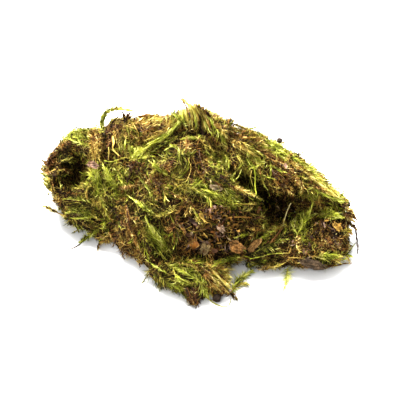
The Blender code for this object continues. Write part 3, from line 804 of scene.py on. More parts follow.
# the colour that the palest tones mix towards: bleached leaves and painted highlights
BLEACHED_AND_HIGHLIGHT_COLOUR = (0.75, 0.70, 0.29)
COLOUR_MAP = "OFBake"
MAP_HALF_WIDTH = 0.012
MAP_LIMITS = (0.002, 0.998)
HUE_RANGE = (0.01, 0.99)
TONE_RANGE = (0.02, 0.98)
TRIANGLE_MAP = np.array([[-1, -1], [1, -1], [0, 1]]) * MAP_HALF_WIDTH
TUBE_MAP = np.array([[0, -1], [0.5, 0.6], [-0.5, 1]]) * MAP_HALF_WIDTH
TUBE_SIDE = np.array([0.31, 0.17, 0.93])  # a way that no stem runs along

# Leaf blades: stations along them, their breadth there, their half width in mm and how much
# their tones vary
LEAF_STATIONS = np.array([0.0, 0.26, 0.52, 0.78, 1.0])
LEAF_BREADTHS = np.array([0.7, 1.0, 0.85, 0.5, 0.0])
FINE_LEAF = (LEAF_STATIONS, LEAF_BREADTHS, 0.15, 0.20)
TURF_STATIONS = np.array([0.0, 0.36, 0.72, 1.0])
TURF_BREADTHS = np.array([0.8, 1.0, 0.6, 0.0])
TURF_HALF_WIDTH = 0.155
PLAIN_LEAF = (TURF_STATIONS, TURF_BREADTHS, TURF_HALF_WIDTH, 0.15)
LEAF_SHARES = {  # a leaf's place in its own stretch of stem; the rest times what its shoot says
    "place": (0.1, 0.9),
    "opening": (0.6, 1.4),
    "length": (0.7, 1.25),
    "turning": (0.3, 1.6),
    "breadth": (0.7, 1.3),
}
LEAF_SWAY = {"bend": 0.5, "sides": 0.35, "hue": 0.035}  # how far leaves stray within a shoot
LEAFY_START, LEAFY_PART = 0.03, 0.95  # where on a stem leaves begin, and how much of it has them
FADE_MIDDLE = 0.6  # of a stem, where its leaves have its own hue and tone
FADE_HUE = 0.6  # of the fade in tone
GOLDEN_ANGLE = math.radians(137.5)
STRAIGHTEST = 0.05  # radians that even a straight leaf turns
PALE_SHARE = 0.14  # of the leaves, some bleached and some painted paler as highlights where they catch the light
PALE_GAIN = 0.34
DIM_SHARE = 0.25  # of the leaves, some dead and some painted darker as shade from their neighbours
DIM_LOSS = 0.34
FOOT_DROP = {"hue": 0.16, "tone": 0.24}  # how much browner a leaf's foot is, and how much darker: its own darker foot and painted shade near the stem
BARE_DROP = 0.25  # share of that by which a bare stem's foot is so
STEM_TAPER = (1.0, 0.35)  # of a leafy shoot's stem, from foot to tip
STEM_HUE_DROP, STEM_TONE_DROP = 0.25, 0.1  # how much browner and darker than its leaves it is

# Shoots that lie on the mats
SHOOT_STATIONS = 11
LEVEL_PASSES = 3
PLUME_LIFT = 1.4  # mm above the mats
CLEAR_REACH = 1.5  # mm round a shoot's stem that other growth mostly leaves free
SHOOT_CLEAR_REACH = CLEAR_REACH * 1.6  # and that the turf's shoots do
CLEAR_SHARE = 0.7
SHADE_REACH = 4.0  # mm round a shoot's stem in which lower growth is painted darker, as the shoot's shade
# how much painted shade a shoot lays on the growth below it
PLUME_SHADE = 0.20

# Turf: shoots and leaves to each square millimetre of a mat, and leaves to a shoot
PATH_POINTS = 7
TURF_DRAWS = 100  # the number of the first turf piece's random draws
TURF_DENSITY = 0.062
TURF_LEAVES = 22
TURF_LEAVES_OVER = 8.5  # mm of shoot that carry as many
TURF_LENGTH = (6.0, 17.0)
TURF_RISE = (0.3, 1.0)  # times the kind's height of growth
RISING_SHARE = 0.1  # of the shoots rise further
RISE = (1.5, 4.0)  # mm by which they do
LOW_RISE = 0.6  # mm, the most near the ground
TURF_SINK = 0.3  # how far the leaves turn back to the mat
TURF_FORM = {  # ranges for its shoots, and how much browner and darker the stems are
    "amount": (0.8, 1.2),
    "leaf": (0.85, 1.25),
    "width": (0.8, 1.2),
    "spread": (0.75, 1.25),
    "swept": 0.9,
    "stem": (0.16, 0.06),
    "stem_hue": 0.22,
    "stem_tone": 0.08,
}
UPRIGHT_DENSITY = 0.06
UPRIGHT_SHARE = 0.12  # of them grow where a mat isn't seen edge-on
UPRIGHT_LENGTH = (3.0, 7.5)
UPRIGHT_STANDING = (0.4, 1.0)  # how far they stand off the mat
UPRIGHT_LEAN = 0.7  # and how far they lean along it
UPRIGHT_SWAY = 0.3
UPRIGHT_TURNING = (0.3, 1.6)
UPRIGHT_FORM = {
    "amount": (2.0, 4.0),
    "leaf": (0.6, 0.9),
    "width": (1.2, 1.7),
    "spread": (0.5, 1.0),
    "swept": 0.6,
    "stem": (0.24, 0.12),
    "stem_hue": 0.2,
    "stem_tone": 0.06,
}
EDGE_ON = 0.5  # from where a mat counts as seen edge-on, 0 being fully so
EDGE_SHADE = 0.06  # how much darker growth is painted there, as painted shade along the clump's outline
FUZZ_DENSITY = 1.5
FUZZ_PATCH = 3.2  # mm from a shoot at which its patch of fuzz ends
FUZZ_FORM = {  # lengths, turning and widths are times the kind's
    "lift": (0.15, 0.8),
    "least_lift": 0.15,
    "sway": 0.34,
    "length": (0.8, 2.0),
    "bend_sway": 0.5,
    "patch_turning": (0.4, 1.3),
    "turning": (0.7, 1.3),
    "root": 0.3,
    "width": (0.6, 1.2),
    "side_sway": 0.5,
    "browner": 0.03,
    "hue_sway": 0.05,
    "tone_sway": 0.18,
}
FUZZ_SHADE = 0.02  # how much darker the low leaves are painted, as shade under the taller growth
DARK_SHARE = 0.4  # of the low leaves stay in patches of the dark kind, the painted shade of the hollows
PATCH_SHADE = 0.16  # how much darker a patch is painted where it ends, as shade in the gaps between tufts
FIBRE_DENSITY = 0.26
FIBRE_LENGTH = (4.0, 13.0)
FIBRE_RISE = (0.8, 3.6)
FIBRE_LOW_RISE = 0.5
FIBRE_SWAY = 0.25
FIBRE_HALF_WIDTH = (0.06, 0.13)
FIBRE_TAPER = (1, 0.3)
FIBRE_HUE = (0.14, 0.56)
FIBRE_TONE = (0.2, 0.85)
HIDDEN_SHARE = 0.5  # of the growth stays where the picture doesn't show it
OPEN_AIR = 3.0  # mm of air that growth needs before the next mat
UNDERSIDE_HEIGHT = 0.8  # mm, below which nothing grows
HEM_HEIGHT = 4.0  # mm, below which nothing grows downwards
LOW_HEIGHT = 3.0  # mm, below which growth stays short

# The mats' felt, its own dark brown painted near-black as shade under the leaves, with lengths
# in mm, and the hollows in it: picture ellipse and depth
CORE_VOXEL = 2.0
CORE_SHRINK = 1.0  # how far it is drawn in
CORE_RELIEF = 3.2  # how far its bumps go
CORE_GRAIN = 5.0  # how wide they are
FELT_HUE = (0.14, 0.36)
# near-black tones: painted shade in the depth under the leaves
FELT_SHADE_TONE = (0.02, 0.06)
HOLLOW_FALL = 0.8  # how quickly a hollow ends beyond its ellipse
HOLLOWS = [
    ((72, 170), (17, 21), 3.5),
    ((108, 155), (6, 5), 3.0),
    ((157, 153), (9, 7), 5.0),
    ((202, 131), (3, 9), 3.0),
    ((211, 141), (3, 6), 3.0),
    ((199, 168), (7, 8), 4.0),
    ((183, 220), (9, 8), 7.0),
    ((212, 236), (26, 14), 3.5),
    ((246, 184), (13, 8), 4.0),
    ((275, 205), (30, 14), 3.0),
    ((314, 234), (9, 11), 3.5),
    ((262, 252), (16, 5), 2.0),
    ((119, 170), (5, 6), 2.5),
    ((133, 205), (5, 9), 2.0),
]

# The turf pieces: which mat, and the picture rows that they cover
TURF_PIECES = [
    ("turf_crest", "main_mat", 0, 148),
    ("turf_middle", "main_mat", 148, 198),
    ("turf_litter", "main_mat", 198, 400),
    ("turf_left", "left_roll", 0, 400),
    ("turf_flap", "right_flap", 0, 400),
    ("turf_lower_right", "lower_right_mat", 0, 400),
    ("turf_front", "front_tuft", 0, 400),
]


def draws_for(*numbers):
    """Random draws of a piece's own, so that a change to one piece leaves the others alone."""
    return np.random.default_rng([SEED, *(int(abs(number) * 10) for number in numbers)])


def draws_along(route):
    """A shoot's or twig's own random draws, by the ends of its route."""
    return draws_for(*route[0][:2], *route[-1][:2])


def unit(vectors):
    """Vectors of length one, along the last axis."""
    lengths = np.linalg.norm(vectors, axis=-1, keepdims=True)
    return vectors / np.maximum(lengths, 1e-9)


def square_to(vectors, axes):
    """Vectors without what they have along their axes."""
    return vectors - axes * (vectors * axes).sum(axis=1)[:, None]


def sight(pixel):
    """Direction of the line of sight through a picture point."""
    across, down = pixel[0] - PICTURE_MIDDLE, pixel[1] - PICTURE_MIDDLE
    return unit(FORWARD * FOCAL_PIXELS + RIGHTWARD * across - UPWARD * down)


def seen_at(points):
    """Picture points at which places are seen."""
    offset = points - EYE
    scale = FOCAL_PIXELS / (offset @ FORWARD)
    across, up = offset[:, 0] * scale, (offset @ UPWARD) * scale
    return np.stack([PICTURE_MIDDLE + across, PICTURE_MIDDLE - up], axis=1)


def faces_eye(places, normals):
    """Whether the surface at each place is turned towards the eye."""
    return ((places - EYE) * normals).sum(axis=1) < 0


def points_of(mesh):
    """A mesh's vertices in the working frame."""
    points = np.empty(len(mesh.vertices) * 3)
    mesh.vertices.foreach_get("co", points)
    return points.reshape(-1, 3) / MM + BOX_CENTRE


def triangles_of(mesh):
    """A mesh's triangles in the working frame, as rows of three points."""
    mesh.calc_loop_triangles()
    corners = np.empty(len(mesh.loop_triangles) * 3, int)
    mesh.loop_triangles.foreach_get("vertices", corners)
    return points_of(mesh)[corners].reshape(-1, 3, 3)


def add_object(name, data):
    """A new object in the scene."""
    obj = bpy.data.objects.new(name, data)
    bpy.context.scene.collection.objects.link(obj)
    return obj


def object_of(bm, name):
    """A new object from a finished bmesh."""
    mesh = bpy.data.meshes.new(name)
    bm.to_mesh(mesh)
    bm.free()
    return add_object(name, mesh)


def apply_modifiers(obj):
    """Give an object the mesh that its modifiers make of its own."""
    bpy.context.view_layer.update()
    graph = bpy.context.evaluated_depsgraph_get()
    mesh = bpy.data.meshes.new_from_object(obj.evaluated_get(graph))
    obj.modifiers.clear()
    obj.data = mesh


def finish_piece(obj, material, slot, *nodes):
    """Give a piece its material and its body, and hide the CAD nodes that it stands for; slot is
    not used.
    """
    obj.data.materials.clear()
    obj.data.materials.append(material)
    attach(obj, "root")
    if nodes:
        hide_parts(*nodes)


def frame_slot(node):
    """The record's material slot of a CAD node."""
    for subpart in frame["record"]["subparts"]:
        if subpart["node"] == node:
            return subpart["material_slot"]
    raise ValueError(f"no slot for {node}")


def tree_of(objects):
    """A search tree, in the working frame, for the surfaces of objects in the row frame."""
    points = []
    faces = []
    for obj in objects:
        first = len(points)
        points += [Vector(point) for point in points_of(obj.data)]
        faces += [[first + i for i in face.vertices] for face in obj.data.polygons]
    return BVHTree.FromPolygons(points, faces)


def tree_of_points(points):
    """A search tree for the nearest of some points."""
    tree = KDTree(len(points))
    for i, point in enumerate(points):
        tree.insert(point, i)
    tree.balance()
    return tree


def reach_beside(way, tree):
    """How far along a line of sight it passes closest to the mats."""
    distances = [tree.find_nearest(Vector(EYE + way * reach))[3] for reach in SKY_REACHES]
    return SKY_REACHES[int(np.argmin(distances))]


def placed(pixels, tree, lift):
    """The places seen at picture points, on the mats, on the ground or beside the mats' edge."""
    places = []
    for pixel in pixels:
        way = sight(pixel)
        reaches = [(lift + FLOOR_GAP - EYE[2]) / way[2]]
        hit = tree.ray_cast(Vector(EYE), Vector(way))[0]
        if hit is not None:
            reaches.append(np.linalg.norm(np.array(hit) - EYE) - lift - GAP)
        elif len(pixel) == 2 and pixel[1] < LOWEST_SKY:
            reaches.append(reach_beside(way, tree))
        if len(pixel) == 3:
            reaches.append((pixel[2] - EYE[1]) / way[1])
        places.append(EYE + way * min(reaches))
    return np.array(places)


def smooth_route(points, stations):
    """Points at even steps on a Catmull-Rom curve through a route."""
    ends = np.concatenate([[2 * points[0] - points[1]], points, [2 * points[-1] - points[-2]]])
    along = np.linspace(0, len(points) - 1, stations)
    span = np.minimum(along.astype(int), len(points) - 2)
    t = (along - span)[:, None]
    a, b, c, d = (ends[span + i] for i in range(4))
    square, cube = (2 * a - 5 * b + 4 * c - d) * t**2, (3 * b - a - 3 * c + d) * t**3
    return 0.5 * (2 * b + (c - a) * t + square + cube)


def level_out(centres):
    """Even out a route's depth, so that it bridges the dips between bumps."""
    for _ in range(LEVEL_PASSES):
        middle = (centres[:-2] + centres[2:]) / 2
        centres[1:-1] = (centres[1:-1] + middle) / 2
    return centres


def raise_clear(centres, lift, tree):
    """Move points of a route towards the eye until the mats no longer hide them."""
    for i, centre in enumerate(centres):
        way = unit(centre - EYE)
        hit = tree.ray_cast(Vector(EYE), Vector(way))[0]
        if hit is not None:
            surface = np.linalg.norm(np.array(hit) - EYE)
            centres[i] = EYE + way * min(np.linalg.norm(centre - EYE), surface - lift - GAP)
    return centres


def lie_of(route, tree, lift):
    """The middle line of a shoot that lies on the mats along a route of picture points."""
    centres = raise_clear(smooth_route(placed(route, tree, lift), SHOOT_STATIONS), lift, tree)
    return raise_clear(level_out(centres), lift, tree)


def colour_line(hue, tone, stations):
    """The ends of blades on the colour map, and the line from foot to tip there."""
    ends = np.stack([hue, tone], axis=2)
    along = np.linspace(0, 1, stations)
    return ends, ends[:, :1] + (ends[:, 1:] - ends[:, :1]) * along[None, :, None]


def paired(lines, reach):
    """Lines widened into pairs of points, reach to either side, that end in a single tip."""
    count, stations, axes = lines.shape
    pairs = np.stack([lines[:, :-1] - reach, lines[:, :-1] + reach], axis=2)
    return np.concatenate([pairs.reshape(count, 2 * (stations - 1), axes), lines[:, -1:]], axis=1)


class Thatch:
    """Ribbons and tubes of plant matter gathered into one mesh."""

    def __init__(self):
        self.points = []
        self.maps = []
        self.corners = []
        self.sizes = []
        self.count = 0

    def add(self, points, maps, pattern, sizes):
        """Add equal bundles: points (N, V, 3), maps (N, V, 2), one face pattern for all."""
        bundles, verts = points.shape[:2]
        starts = self.count + np.arange(bundles) * verts
        self.points.append(points.reshape(-1, 3))
        self.maps.append(maps.reshape(-1, 2))
        self.corners.append((np.array(pattern)[None] + starts[:, None]).ravel())
        self.sizes.append(np.tile(sizes, bundles))
        self.count += bundles * verts

    def ribbons(self, paths, half_widths, sides, hue, tone):
        """Tapering ribbons; hue and tone are (N, 2) pairs, from foot to tip."""
        stations = paths.shape[1]
        ends, line = colour_line(hue, tone, stations)
        run = unit(ends[:, 1] - ends[:, 0] + 1e-6)
        across = np.stack([-run[:, 1], run[:, 0]], axis=1)[:, None] * MAP_HALF_WIDTH
        points = paired(paths, sides[:, None] * half_widths[:, :-1, None])
        quads = stations - 2
        pattern = [2 * k + i for k in range(quads) for i in (0, 1, 3, 2)]
        pattern += [2 * quads + i for i in range(3)]
        self.add(points, paired(line, across), pattern, [4] * quads + [3])

    def tubes(self, paths, radii, hue, tone):
        """Three-sided stems that taper from foot to tip."""
        count, stations = paths.shape[:2]
        tangent = unit(np.gradient(paths, axis=1))
        across = unit(np.cross(tangent, TUBE_SIDE))
        over = np.cross(tangent, across)
        rings = []
        for side in range(3):
            turn = side * 2 * math.pi / 3
            outward = across * math.cos(turn) + over * math.sin(turn)
            rings.append(paths + outward * radii[..., None])
        line = colour_line(hue, tone, stations)[1]
        points = np.stack(rings, axis=2).reshape(count, 3 * stations, 3)
        maps = (line[:, :, None] + TUBE_MAP[None, None]).reshape(count, 3 * stations, 2)
        pattern = []
        for ring in range(0, 3 * (stations - 1), 3):
            for side, after in ((0, 1), (1, 2), (2, 0)):
                pattern += [ring + side, ring + after, ring + 3 + after, ring + 3 + side]
        self.add(points, maps, pattern, [4] * (3 * (stations - 1)))

    def felt(self, mesh, rng):
        """Add a mat's felt, painted near-black as shade under the leaves, each triangle with its
        own place on the colour map.
        """
        triangles = triangles_of(mesh)
        hue = rng.uniform(*FELT_HUE, len(triangles))
        tone = rng.uniform(*FELT_SHADE_TONE, len(triangles))
        centre = np.stack([hue, tone], axis=1)
        self.add(triangles, centre[:, None] + TRIANGLE_MAP[None], range(3), [3])

    def make(self, name):
        """The gathered mesh as one object in the row frame."""
        points = np.concatenate(self.points)
        points[:, 2] = np.maximum(points[:, 2], LOWEST)
        points = (points - BOX_CENTRE) * MM
        corners = np.concatenate(self.corners).astype(np.int32)
        sizes = np.concatenate(self.sizes).astype(np.int32)
        starts = np.concatenate([[0], np.cumsum(sizes)[:-1]]).astype(np.int32)
        maps = np.clip(np.concatenate(self.maps), *MAP_LIMITS)[corners]
        mesh = bpy.data.meshes.new(name)
        mesh.vertices.add(len(points))
        mesh.vertices.foreach_set("co", points.astype(np.float32).ravel())
        mesh.loops.add(len(corners))
        mesh.loops.foreach_set("vertex_index", corners)
        mesh.polygons.add(len(sizes))
        mesh.polygons.foreach_set("loop_start", starts)
        mesh.polygons.foreach_set("loop_total", sizes)
        layer = mesh.uv_layers.new(name=COLOUR_MAP)
        layer.data.foreach_set("uv", maps.astype(np.float32).ravel())
        mesh.update()
        mesh.validate()
        return add_object(name, mesh)


def leaf_arcs(base, way, bend, length, turning, stations):
    """Leaf midlines, arcs that set out along way and turn towards bend, and their sides."""
    bend = unit(square_to(bend, way) + 1e-6)
    angle = np.maximum(turning, STRAIGHTEST)[:, None, None]
    s = stations[None, :, None]
    ahead = way[:, None] * np.sin(angle * s) + bend[:, None] * (1 - np.cos(angle * s))
    return base[:, None] + length[:, None, None] * ahead / angle, np.cross(way, bend)


def uneven_tone(tone, rng, spread):
    """Leaf tones with some leaves paler, bleached ones and painted highlights, and some dim, dead
    ones and painted shade.
    """
    tone = tone + rng.normal(0, spread, len(tone))[:, None]
    draw = rng.random(len(tone))
    tone[draw < PALE_SHARE] += PALE_GAIN
    tone[draw > 1 - DIM_SHARE] -= DIM_LOSS
    return np.clip(tone, *TONE_RANGE)


def clothe(thatch, rng, paths, ups, spec, fine):
    """Cover stems with curved leaves that leave them in a spiral.

    paths (M, P, 3) run from foot to tip, ups (M, 3) point away from the mat, and spec holds
    one value, or foot and tip values, for each stem.  fine leaves have one joint more.
    """
    stations, breadths, half_width, spread = FINE_LEAF if fine else PLAIN_LEAF
    owner = np.repeat(np.arange(len(paths)), spec["count"])
    first = np.cumsum(spec["count"]) - spec["count"]
    rank = np.arange(len(owner)) - first[owner]
    total = len(owner)

    def share(field):
        return rng.uniform(*LEAF_SHARES[field], total)

    along = LEAFY_START + LEAFY_PART * ((rank + share("place")) / spec["count"][owner])
    position = along * (paths.shape[1] - 1)
    index = np.minimum(position.astype(int), paths.shape[1] - 2)
    part = (position - index)[:, None]
    base = paths[owner, index] * (1 - part) + paths[owner, index + 1] * part
    tangent = unit(paths[owner, index + 1] - paths[owner, index])
    side = unit(np.cross(tangent, ups[owner]))
    over = np.cross(side, tangent)
    turn = rank * GOLDEN_ANGLE + rng.uniform(0, FULL_TURN, len(paths))[owner]
    radial = unit(over * (np.cos(turn) * 0.8 + 0.3)[:, None] + side * np.sin(turn)[:, None])
    opening = spec["spread"][owner] * (1.25 - 1.0 * along) * share("opening")
    way = tangent * np.cos(opening)[:, None] + radial * np.sin(opening)[:, None]
    full = 0.6 + 0.5 * np.sin(np.pi * np.clip(along * 1.3, 0.1, 1.0))
    length = spec["leaf"][owner] * full * share("length")
    bend = radial * spec["flare"][owner][:, None] + spec["swept"][owner]
    bend = bend + rng.normal(0, LEAF_SWAY["bend"], (total, 3))
    turning = spec["curl"][owner] * (1.25 - 0.8 * along) * share("turning")
    leaves, sides = leaf_arcs(base, way, bend, length, turning, stations)
    breadth = half_width * spec["width"][owner] * share("breadth")
    sides = unit(sides + rng.normal(0, LEAF_SWAY["sides"], (total, 3)))
    fade = (spec["fade"] * (along - FADE_MIDDLE))[:, None]
    hue = spec["hue"][owner] + fade * FADE_HUE + rng.normal(0, LEAF_SWAY["hue"], total)[:, None]
    tone = uneven_tone(spec["tone"][owner] + fade, rng, spread)
    thatch.ribbons(leaves, breadth[:, None] * breadths[None], sides, np.clip(hue, *HUE_RANGE), tone)


def kind_field(kinds, field):
    """One number of each stem's kind."""
    return np.array([KINDS[kind][field] for kind in kinds])


def kind_values(kinds, rng, field, drop=1.0):
    """A foot-to-tip pair for each stem, drawn from its kind's range; drop is for its foot."""
    low, high = kind_field(kinds, field).reshape(-1, 2).T
    tip = low + (high - low) * rng.random(len(kinds))
    return np.stack([tip - drop * FOOT_DROP[field], tip], axis=1)


def hollow_depth(points):
    """How far the felt sinks at each place, in mm, below the hollows that show there."""
    seen = seen_at(points)
    depth = np.zeros(len(points))
    for middle, sizes, deepest in HOLLOWS:
        offset = (seen - np.array(middle)) / np.array(sizes)
        depth = np.maximum(depth, deepest * np.exp(-HOLLOW_FALL * (offset**2).sum(axis=1)))
    return depth


def make_core(name):
    """A mat's dark felt: the CAD solid softened, drawn in and roughened into hollows."""
    core = frame["nodes"][name].copy()
    core.data = core.data.copy()
    core.parent = None
    core.hide_render = False
    core.hide_viewport = False
    bpy.context.scene.collection.objects.link(core)
    melt = core.modifiers.new("melt", "REMESH")
    melt.mode = "VOXEL"
    melt.voxel_size = CORE_VOXEL * MM
    soften = core.modifiers.new("soften", "SMOOTH")
    soften.factor = 0.6
    soften.iterations = 6
    texture = bpy.data.textures.new("felt", "CLOUDS")
    texture.noise_scale = CORE_GRAIN * MM
    rough = core.modifiers.new("rough", "DISPLACE")
    rough.texture = texture
    rough.texture_coords = "LOCAL"
    rough.strength = CORE_RELIEF * MM
    rough.mid_level = 0.5 + CORE_SHRINK / CORE_RELIEF
    apply_modifiers(core)
    points = points_of(core.data)
    normals = np.array([vert.normal for vert in core.data.vertices])
    points -= normals * (hollow_depth(points) * faces_eye(points, normals))[:, None]
    core.data.vertices.foreach_set("co", ((points - BOX_CENTRE) * MM).ravel())
    core.data.update()
    return core


def surface_samples(mesh, density, rng):
    """Places spread evenly over a surface, and the normals there."""
    a, b, c = triangles_of(mesh).transpose(1, 0, 2)
    cross = np.cross(b - a, c - a)
    areas = np.linalg.norm(cross, axis=1) / 2
    count = int(areas.sum() * density)
    pick = rng.choice(len(areas), size=count, p=areas / areas.sum())
    r = np.sqrt(rng.random(count))[:, None]
    q = rng.random(count)[:, None]
    places = a[pick] * (1 - r) + b[pick] * r * (1 - q) + c[pick] * r * q
    return places, unit(cross[pick])


def zone_kinds(places, normals, rng, tree):
    """Kind and picture angle for each place, drawn from the zones that show there."""
    middles, sizes = (np.array([zone[i] for zone in ZONES], float) for i in range(2))
    offsets = (seen_at(places)[:, None] - middles[None]) / sizes[None]
    weights = np.exp(-ZONE_FALL * (offsets**2).sum(axis=2))
    hidden = []
    for place, normal, front in zip(places, normals, faces_eye(places, normals)):
        start = place + normal * 1.5
        blocked = tree.ray_cast(Vector(start), Vector(unit(EYE - start)))[0] is not None
        hidden.append(not front or blocked)
    hidden = np.array(hidden)
    weights[hidden] *= 0.02
    weights = np.concatenate([weights, np.full((len(places), 1), ELSEWHERE_WEIGHT)], axis=1)
    weights[hidden, -1] = 0.4
    total = weights.cumsum(axis=1)
    draw = rng.random(len(places)) * total[:, -1]
    kinds = []
    angles = []
    for zone in (total < draw[:, None]).sum(axis=1):
        options, angle = ZONES[zone][2:] if zone < len(ZONES) else (ELSEWHERE, None)
        kinds.append(options[int(rng.random() * len(options))])
        angles.append(rng.uniform(0, 360) if angle is None else rng.normal(angle, ZONE_SWAY))
    return np.array(kinds), np.radians(angles)


def crawl(places, normals, headings, lengths, heights, tree, rng):
    """Stem paths that leave a surface and run along it, rising a little towards the tip."""
    steps = PATH_POINTS - 1
    paths = np.empty((len(places), PATH_POINTS, 3))
    turns = rng.normal(0, 0.16, len(places))
    for i, (place, normal, heading) in enumerate(zip(places, normals, headings)):
        here, up, way = place, normal, heading
        for k in range(PATH_POINTS):
            paths[i, k] = here + up * heights[i] * (0.15 + 0.85 * (k / steps) ** 1.3)
            near, new_up = tree.find_nearest(Vector(here + way * (lengths[i] / steps)))[:2]
            here = np.array(near)
            up = unit(0.6 * up + 0.4 * np.array(new_up))
            way = unit(way - up * (way @ up) + np.cross(up, way) * turns[i])
    return paths


def headings_of(angles, normals):
    """Directions along the surface whose pictures lie at the given angles."""
    picture_way = RIGHTWARD * np.cos(angles)[:, None] + UPWARD * np.sin(angles)[:, None]
    return unit(square_to(picture_way, normals) + 1e-4)


def off_the_ground(places, normals):
    """Leaves out the clump's underside, which lies on the surface."""
    upright = normals[:, 2] > -0.5
    return (places[:, 2] > UNDERSIDE_HEIGHT) & ((places[:, 2] > HEM_HEIGHT) | upright)


def stem_distances(places, stems):
    """How far each place is from the nearest full shoot's stem."""
    return np.array([stems.find(place)[2] for place in places])


def clear_of_stems(places, stems, reach, rng):
    """Whether growth stays at each place: round a full shoot's stem most of it is left out."""
    away = stem_distances(places, stems) >= reach
    return away | (rng.random(len(places)) > CLEAR_SHARE)


def edge_share(places, normals):
    """How nearly edge-on the surface is seen at each place, from 0 to 1 where it is fully so."""
    facing = -(unit(places - EYE) * normals).sum(axis=1)
    return np.clip(1 - np.abs(facing) / EDGE_ON, 0, 1)


def places_to_grow(core, density, rows, tree, rng):
    """Places in open air on a mat, between two picture rows, fewer where nothing is seen."""
    places, normals = surface_samples(core.data, density, rng)
    seen_rows = seen_at(places)[:, 1]
    keep = off_the_ground(places, normals) & (seen_rows >= rows[0]) & (seen_rows < rows[1])
    keep &= faces_eye(places, normals) | (rng.random(len(places)) < HIDDEN_SHARE)
    places, normals = places[keep], normals[keep]
    free = []
    for place, normal in zip(places, normals):
        start = Vector(place + normal * 0.4)
        free.append(tree.ray_cast(start, Vector(normal), OPEN_AIR)[0] is None)
    return places[free], normals[free]


def turf_shoots(core, tree, stems, rng):
    """Where a mat's short shoots start, their kinds and the ways they run."""
    places, normals = places_to_grow(core, TURF_DENSITY, (-np.inf, np.inf), tree, rng)
    keep = clear_of_stems(places, stems, SHOOT_CLEAR_REACH, rng)
    places, normals = places[keep], normals[keep]
    kinds, angles = zone_kinds(places, normals, rng, tree)
    headings = headings_of(angles, normals)
    return {"places": places, "normals": normals, "kinds": kinds, "headings": headings}


def grow_short_shoots(thatch, rng, paths, ups, across, kinds, amounts, form, darker, swept=0.0):
    """Stems with leaves on a mat: amounts are leaves to a stem, form holds the ranges and darker is
    painted shade taken off their tone.
    """
    count = len(paths)
    spec = {
        "count": np.round(amounts * rng.uniform(*form["amount"], count)).astype(int),
        "leaf": kind_field(kinds, "leaf") * rng.uniform(*form["leaf"], count),
        "width": rng.uniform(*form["width"], count),
        "spread": kind_field(kinds, "open") * rng.uniform(*form["spread"], count),
        "curl": kind_field(kinds, "curl"),
        "flare": rng.uniform(0.2, 1.0, count),
        "swept": across * rng.normal(0, form["swept"], count)[:, None] + swept,
        "hue": kind_values(kinds, rng, "hue"),
        "tone": kind_values(kinds, rng, "tone") - darker,
        "fade": 0.10,
    }
    clothe(thatch, rng, paths, ups, spec, False)
    widths = np.linspace(*form["stem"], PATH_POINTS)[None] * np.ones((count, 1))
    hue, tone = spec["hue"] - form["stem_hue"], spec["tone"] - form["stem_tone"]
    thatch.ribbons(paths, widths, unit(across), hue, tone)


def grow_turf(thatch, shoots, tree, rng):
    """Short leafy shoots that run along a mat."""
    fields = ("places", "normals", "kinds", "headings")
    places, normals, kinds, headings = (shoots[field] for field in fields)
    count = len(places)
    tall = kind_field(kinds, "tall") * rng.uniform(*TURF_RISE, count)
    rising = rng.random(count) < RISING_SHARE
    tall = np.where(rising, tall + rng.uniform(*RISE, count), tall)
    tall = np.where(places[:, 2] < LOW_HEIGHT, np.minimum(tall, LOW_RISE), tall)
    lengths = rng.uniform(*TURF_LENGTH, count)
    paths = crawl(places, normals, headings, lengths, tall, tree, rng)
    across = np.cross(normals, headings)
    amounts = TURF_LEAVES * lengths / TURF_LEAVES_OVER
    sinking = -(normals * TURF_SINK)
    grow_short_shoots(thatch, rng, paths, normals, across, kinds, amounts, TURF_FORM, 0.0, sinking)


